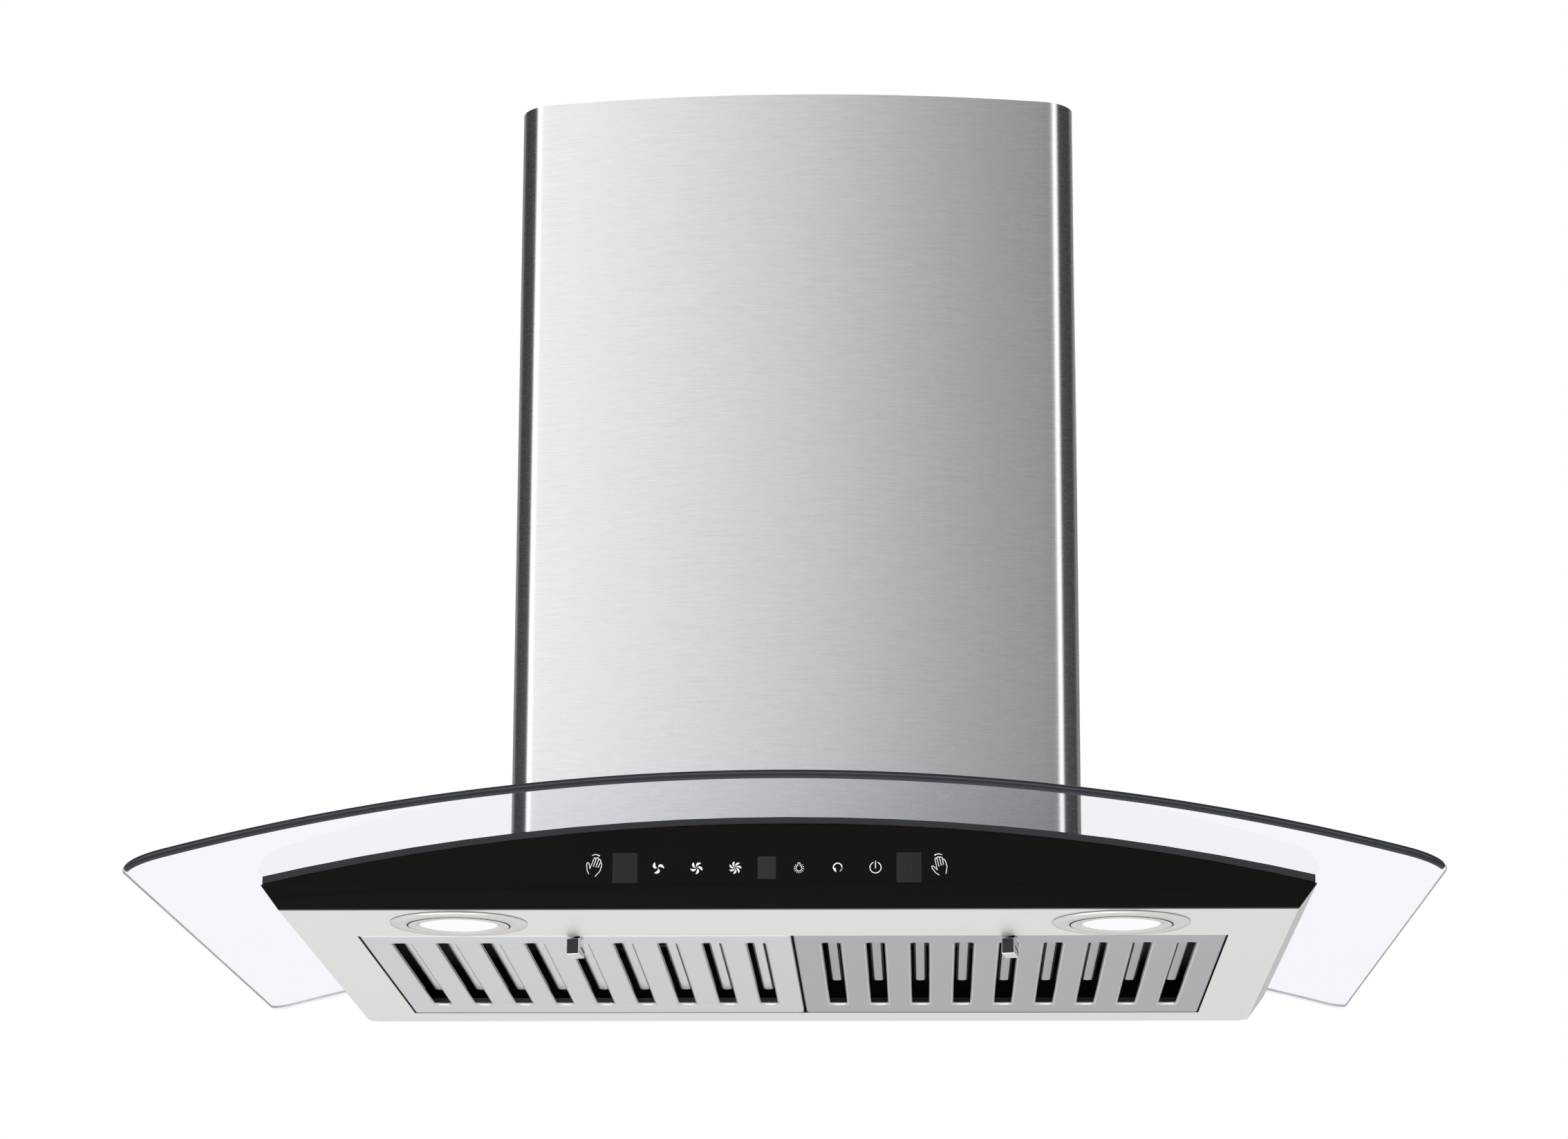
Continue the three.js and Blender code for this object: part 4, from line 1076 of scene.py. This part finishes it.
def paint_shade_inside(node):
    """Gives a hollow node's inward faces a dark finish of their own, which is painted shade inside
    the hollow.
    """
    node.data.materials.append(painted_shade_steel)
    corners = [Vector(corner) for corner in node.bound_box]
    middle = sum(corners, Vector()) / len(corners)
    for polygon in node.data.polygons:
        if polygon.normal.dot(polygon.center - middle) < 0:
            polygon.material_index = 1


def dress_cad_nodes():
    for name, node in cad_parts.items():
        if node.hide_render:
            continue
        slot = node.data.materials[0].name.split(".")[0]
        node.material_slots[0].material = finishes[slot]
        soften(name, node)
    paint_shade_inside(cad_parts["body_shell"])


# ---- Studio ----

FLOOR_DROP = 4.8                  # far enough down to look up at the underside
FLOOR_REACH = 40.0


def floor():
    finish = Finish("floor", (0.86, 0.86, 0.86, 1.0), 0.9)
    finish.glow((1, 1, 1, 1), 0.44)
    form = Form()
    form.face(form.ring((x * FLOOR_REACH, y * FLOOR_REACH, UNDERSIDE - FLOOR_DROP)
                        for x, y in ((-1, -1), (1, -1), (1, 1), (-1, 1))))
    form.object("floor", [finish.material])


SURROUND = (                      # how bright the studio is, by bearing from the front, in degrees
    (-180, 0.26), (-138, 0.26), (-132, 0.03), (-76, 0.03), (-73, 1.7), (-63, 1.7), (-57, 1.05),
    (-30, 1.05), (-14, 0.86), (0, 0.68), (14, 0.46), (28, 0.28), (50, 0.27), (58, 1.5), (67, 1.5),
    (72, 0.03), (128, 0.03), (134, 0.22), (180, 0.26),
)


def surroundings():
    """A white backdrop to the eye, and soft boxes and dark flags to all that the metal mirrors."""
    world = bpy.data.worlds.new("studio")
    bpy.context.scene.world = world
    world.use_nodes = True
    nodes, links = world.node_tree.nodes, world.node_tree.links
    nodes.clear()
    direction = nodes.new("ShaderNodeTexCoord")
    split = nodes.new("ShaderNodeSeparateXYZ")
    ahead = nodes.new("ShaderNodeMath")
    ahead.operation = "MULTIPLY"
    ahead.inputs[1].default_value = -1.0
    bearing = nodes.new("ShaderNodeMath")
    bearing.operation = "ARCTAN2"
    share = nodes.new("ShaderNodeMapRange")
    share.inputs["From Min"].default_value = -math.pi
    share.inputs["From Max"].default_value = math.pi
    ramp = nodes.new("ShaderNodeValToRGB")
    elements = ramp.color_ramp.elements
    while len(elements) < len(SURROUND):
        elements.new(0.5)
    for element, (angle, light) in zip(elements, SURROUND):
        element.position = (angle + 180) / 360
        element.color = (light, light, light, 1)
    mirrored = nodes.new("ShaderNodeBackground")
    seen = nodes.new("ShaderNodeBackground")
    seen.inputs["Color"].default_value = (1, 1, 1, 1)
    path = nodes.new("ShaderNodeLightPath")
    mix = nodes.new("ShaderNodeMixShader")
    output = nodes.new("ShaderNodeOutputWorld")
    for source, target in (
        (direction.outputs["Generated"], split.inputs[0]),
        (split.outputs["Y"], ahead.inputs[0]),
        (split.outputs["X"], bearing.inputs[0]),
        (ahead.outputs[0], bearing.inputs[1]),
        (bearing.outputs[0], share.inputs["Value"]),
        (share.outputs["Result"], ramp.inputs["Fac"]),
        (ramp.outputs["Color"], mirrored.inputs["Color"]),
        (path.outputs["Is Camera Ray"], mix.inputs["Fac"]),
        (mirrored.outputs[0], mix.inputs[1]),
        (seen.outputs[0], mix.inputs[2]),
        (mix.outputs[0], output.inputs["Surface"]),
    ):
        links.new(source, target)


def soft_box(name, place, target, size, power):
    light = bpy.data.lights.new(name, "AREA")
    light.shape = "RECTANGLE"
    light.size, light.size_y = size
    light.energy = power
    obj = bpy.data.objects.new(name, light)
    obj.location = place
    obj.rotation_mode = "QUATERNION"
    obj.rotation_quaternion = (Vector(target) - Vector(place)).to_track_quat("-Z", "Y")
    obj.visible_camera = False
    bpy.context.scene.collection.objects.link(obj)


def lights():
    soft_box("under", (-0.3, -0.6, -1.6), target=(0, -0.2, 0), size=(2.2, 1.6), power=10)
    soft_box("back", (0.4, 2.4, 1.8), target=(0, -0.25, 0.2), size=(1.8, 1.2), power=8)


CAMERA_PLACE = (82.64 * MM, -3135.59 * MM, -480.07 * MM)
CAMERA_YAW = math.radians(1.822)
CAMERA_PITCH = math.radians(13.905)
CAMERA_ROLL = math.radians(0.202)
CAMERA_LENS = 104.78


def camera():
    data = bpy.data.cameras.new("camera")
    data.lens = CAMERA_LENS
    data.sensor_width = 36
    data.clip_start, data.clip_end = 0.05, 200
    obj = bpy.data.objects.new("camera", data)
    obj.matrix_world = (
        Matrix.Translation(CAMERA_PLACE)
        @ Matrix.Rotation(CAMERA_YAW, 4, "Z")
        @ Matrix.Rotation(math.pi / 2 + CAMERA_PITCH, 4, "X")
        @ Matrix.Rotation(CAMERA_ROLL, 4, "Z")
    )
    bpy.context.scene.collection.objects.link(obj)
    bpy.context.scene.camera = obj


# ---- The hood ----

camera()
surroundings()
lights()
floor()
glass_canopy()
control_fascia()
fascia_print()
filter_panel("left", 0.92, filter_steel, filter_steel)
# The right filter takes the darker copies of the filter steel, as painted shade.
filter_panel("right", 0.77, filter_steel_grey, channel_steel_painted_shade)
for side_name in ("left", "right"):
    lamp(side_name)
    latch_grip(side_name)
chimney()
for side_name, outward_x in (("left", -1), ("right", 1)):
    screw(f"cover_screw_{side_name}", "hood", "polished_metal", (outward_x, 0, 0))
    screw(f"bracket_screw_{side_name}", "upper_chimney", "galvanised", (0, -1, 0))
dress_cad_nodes()

bpy.context.scene.view_settings.view_transform = "Standard"
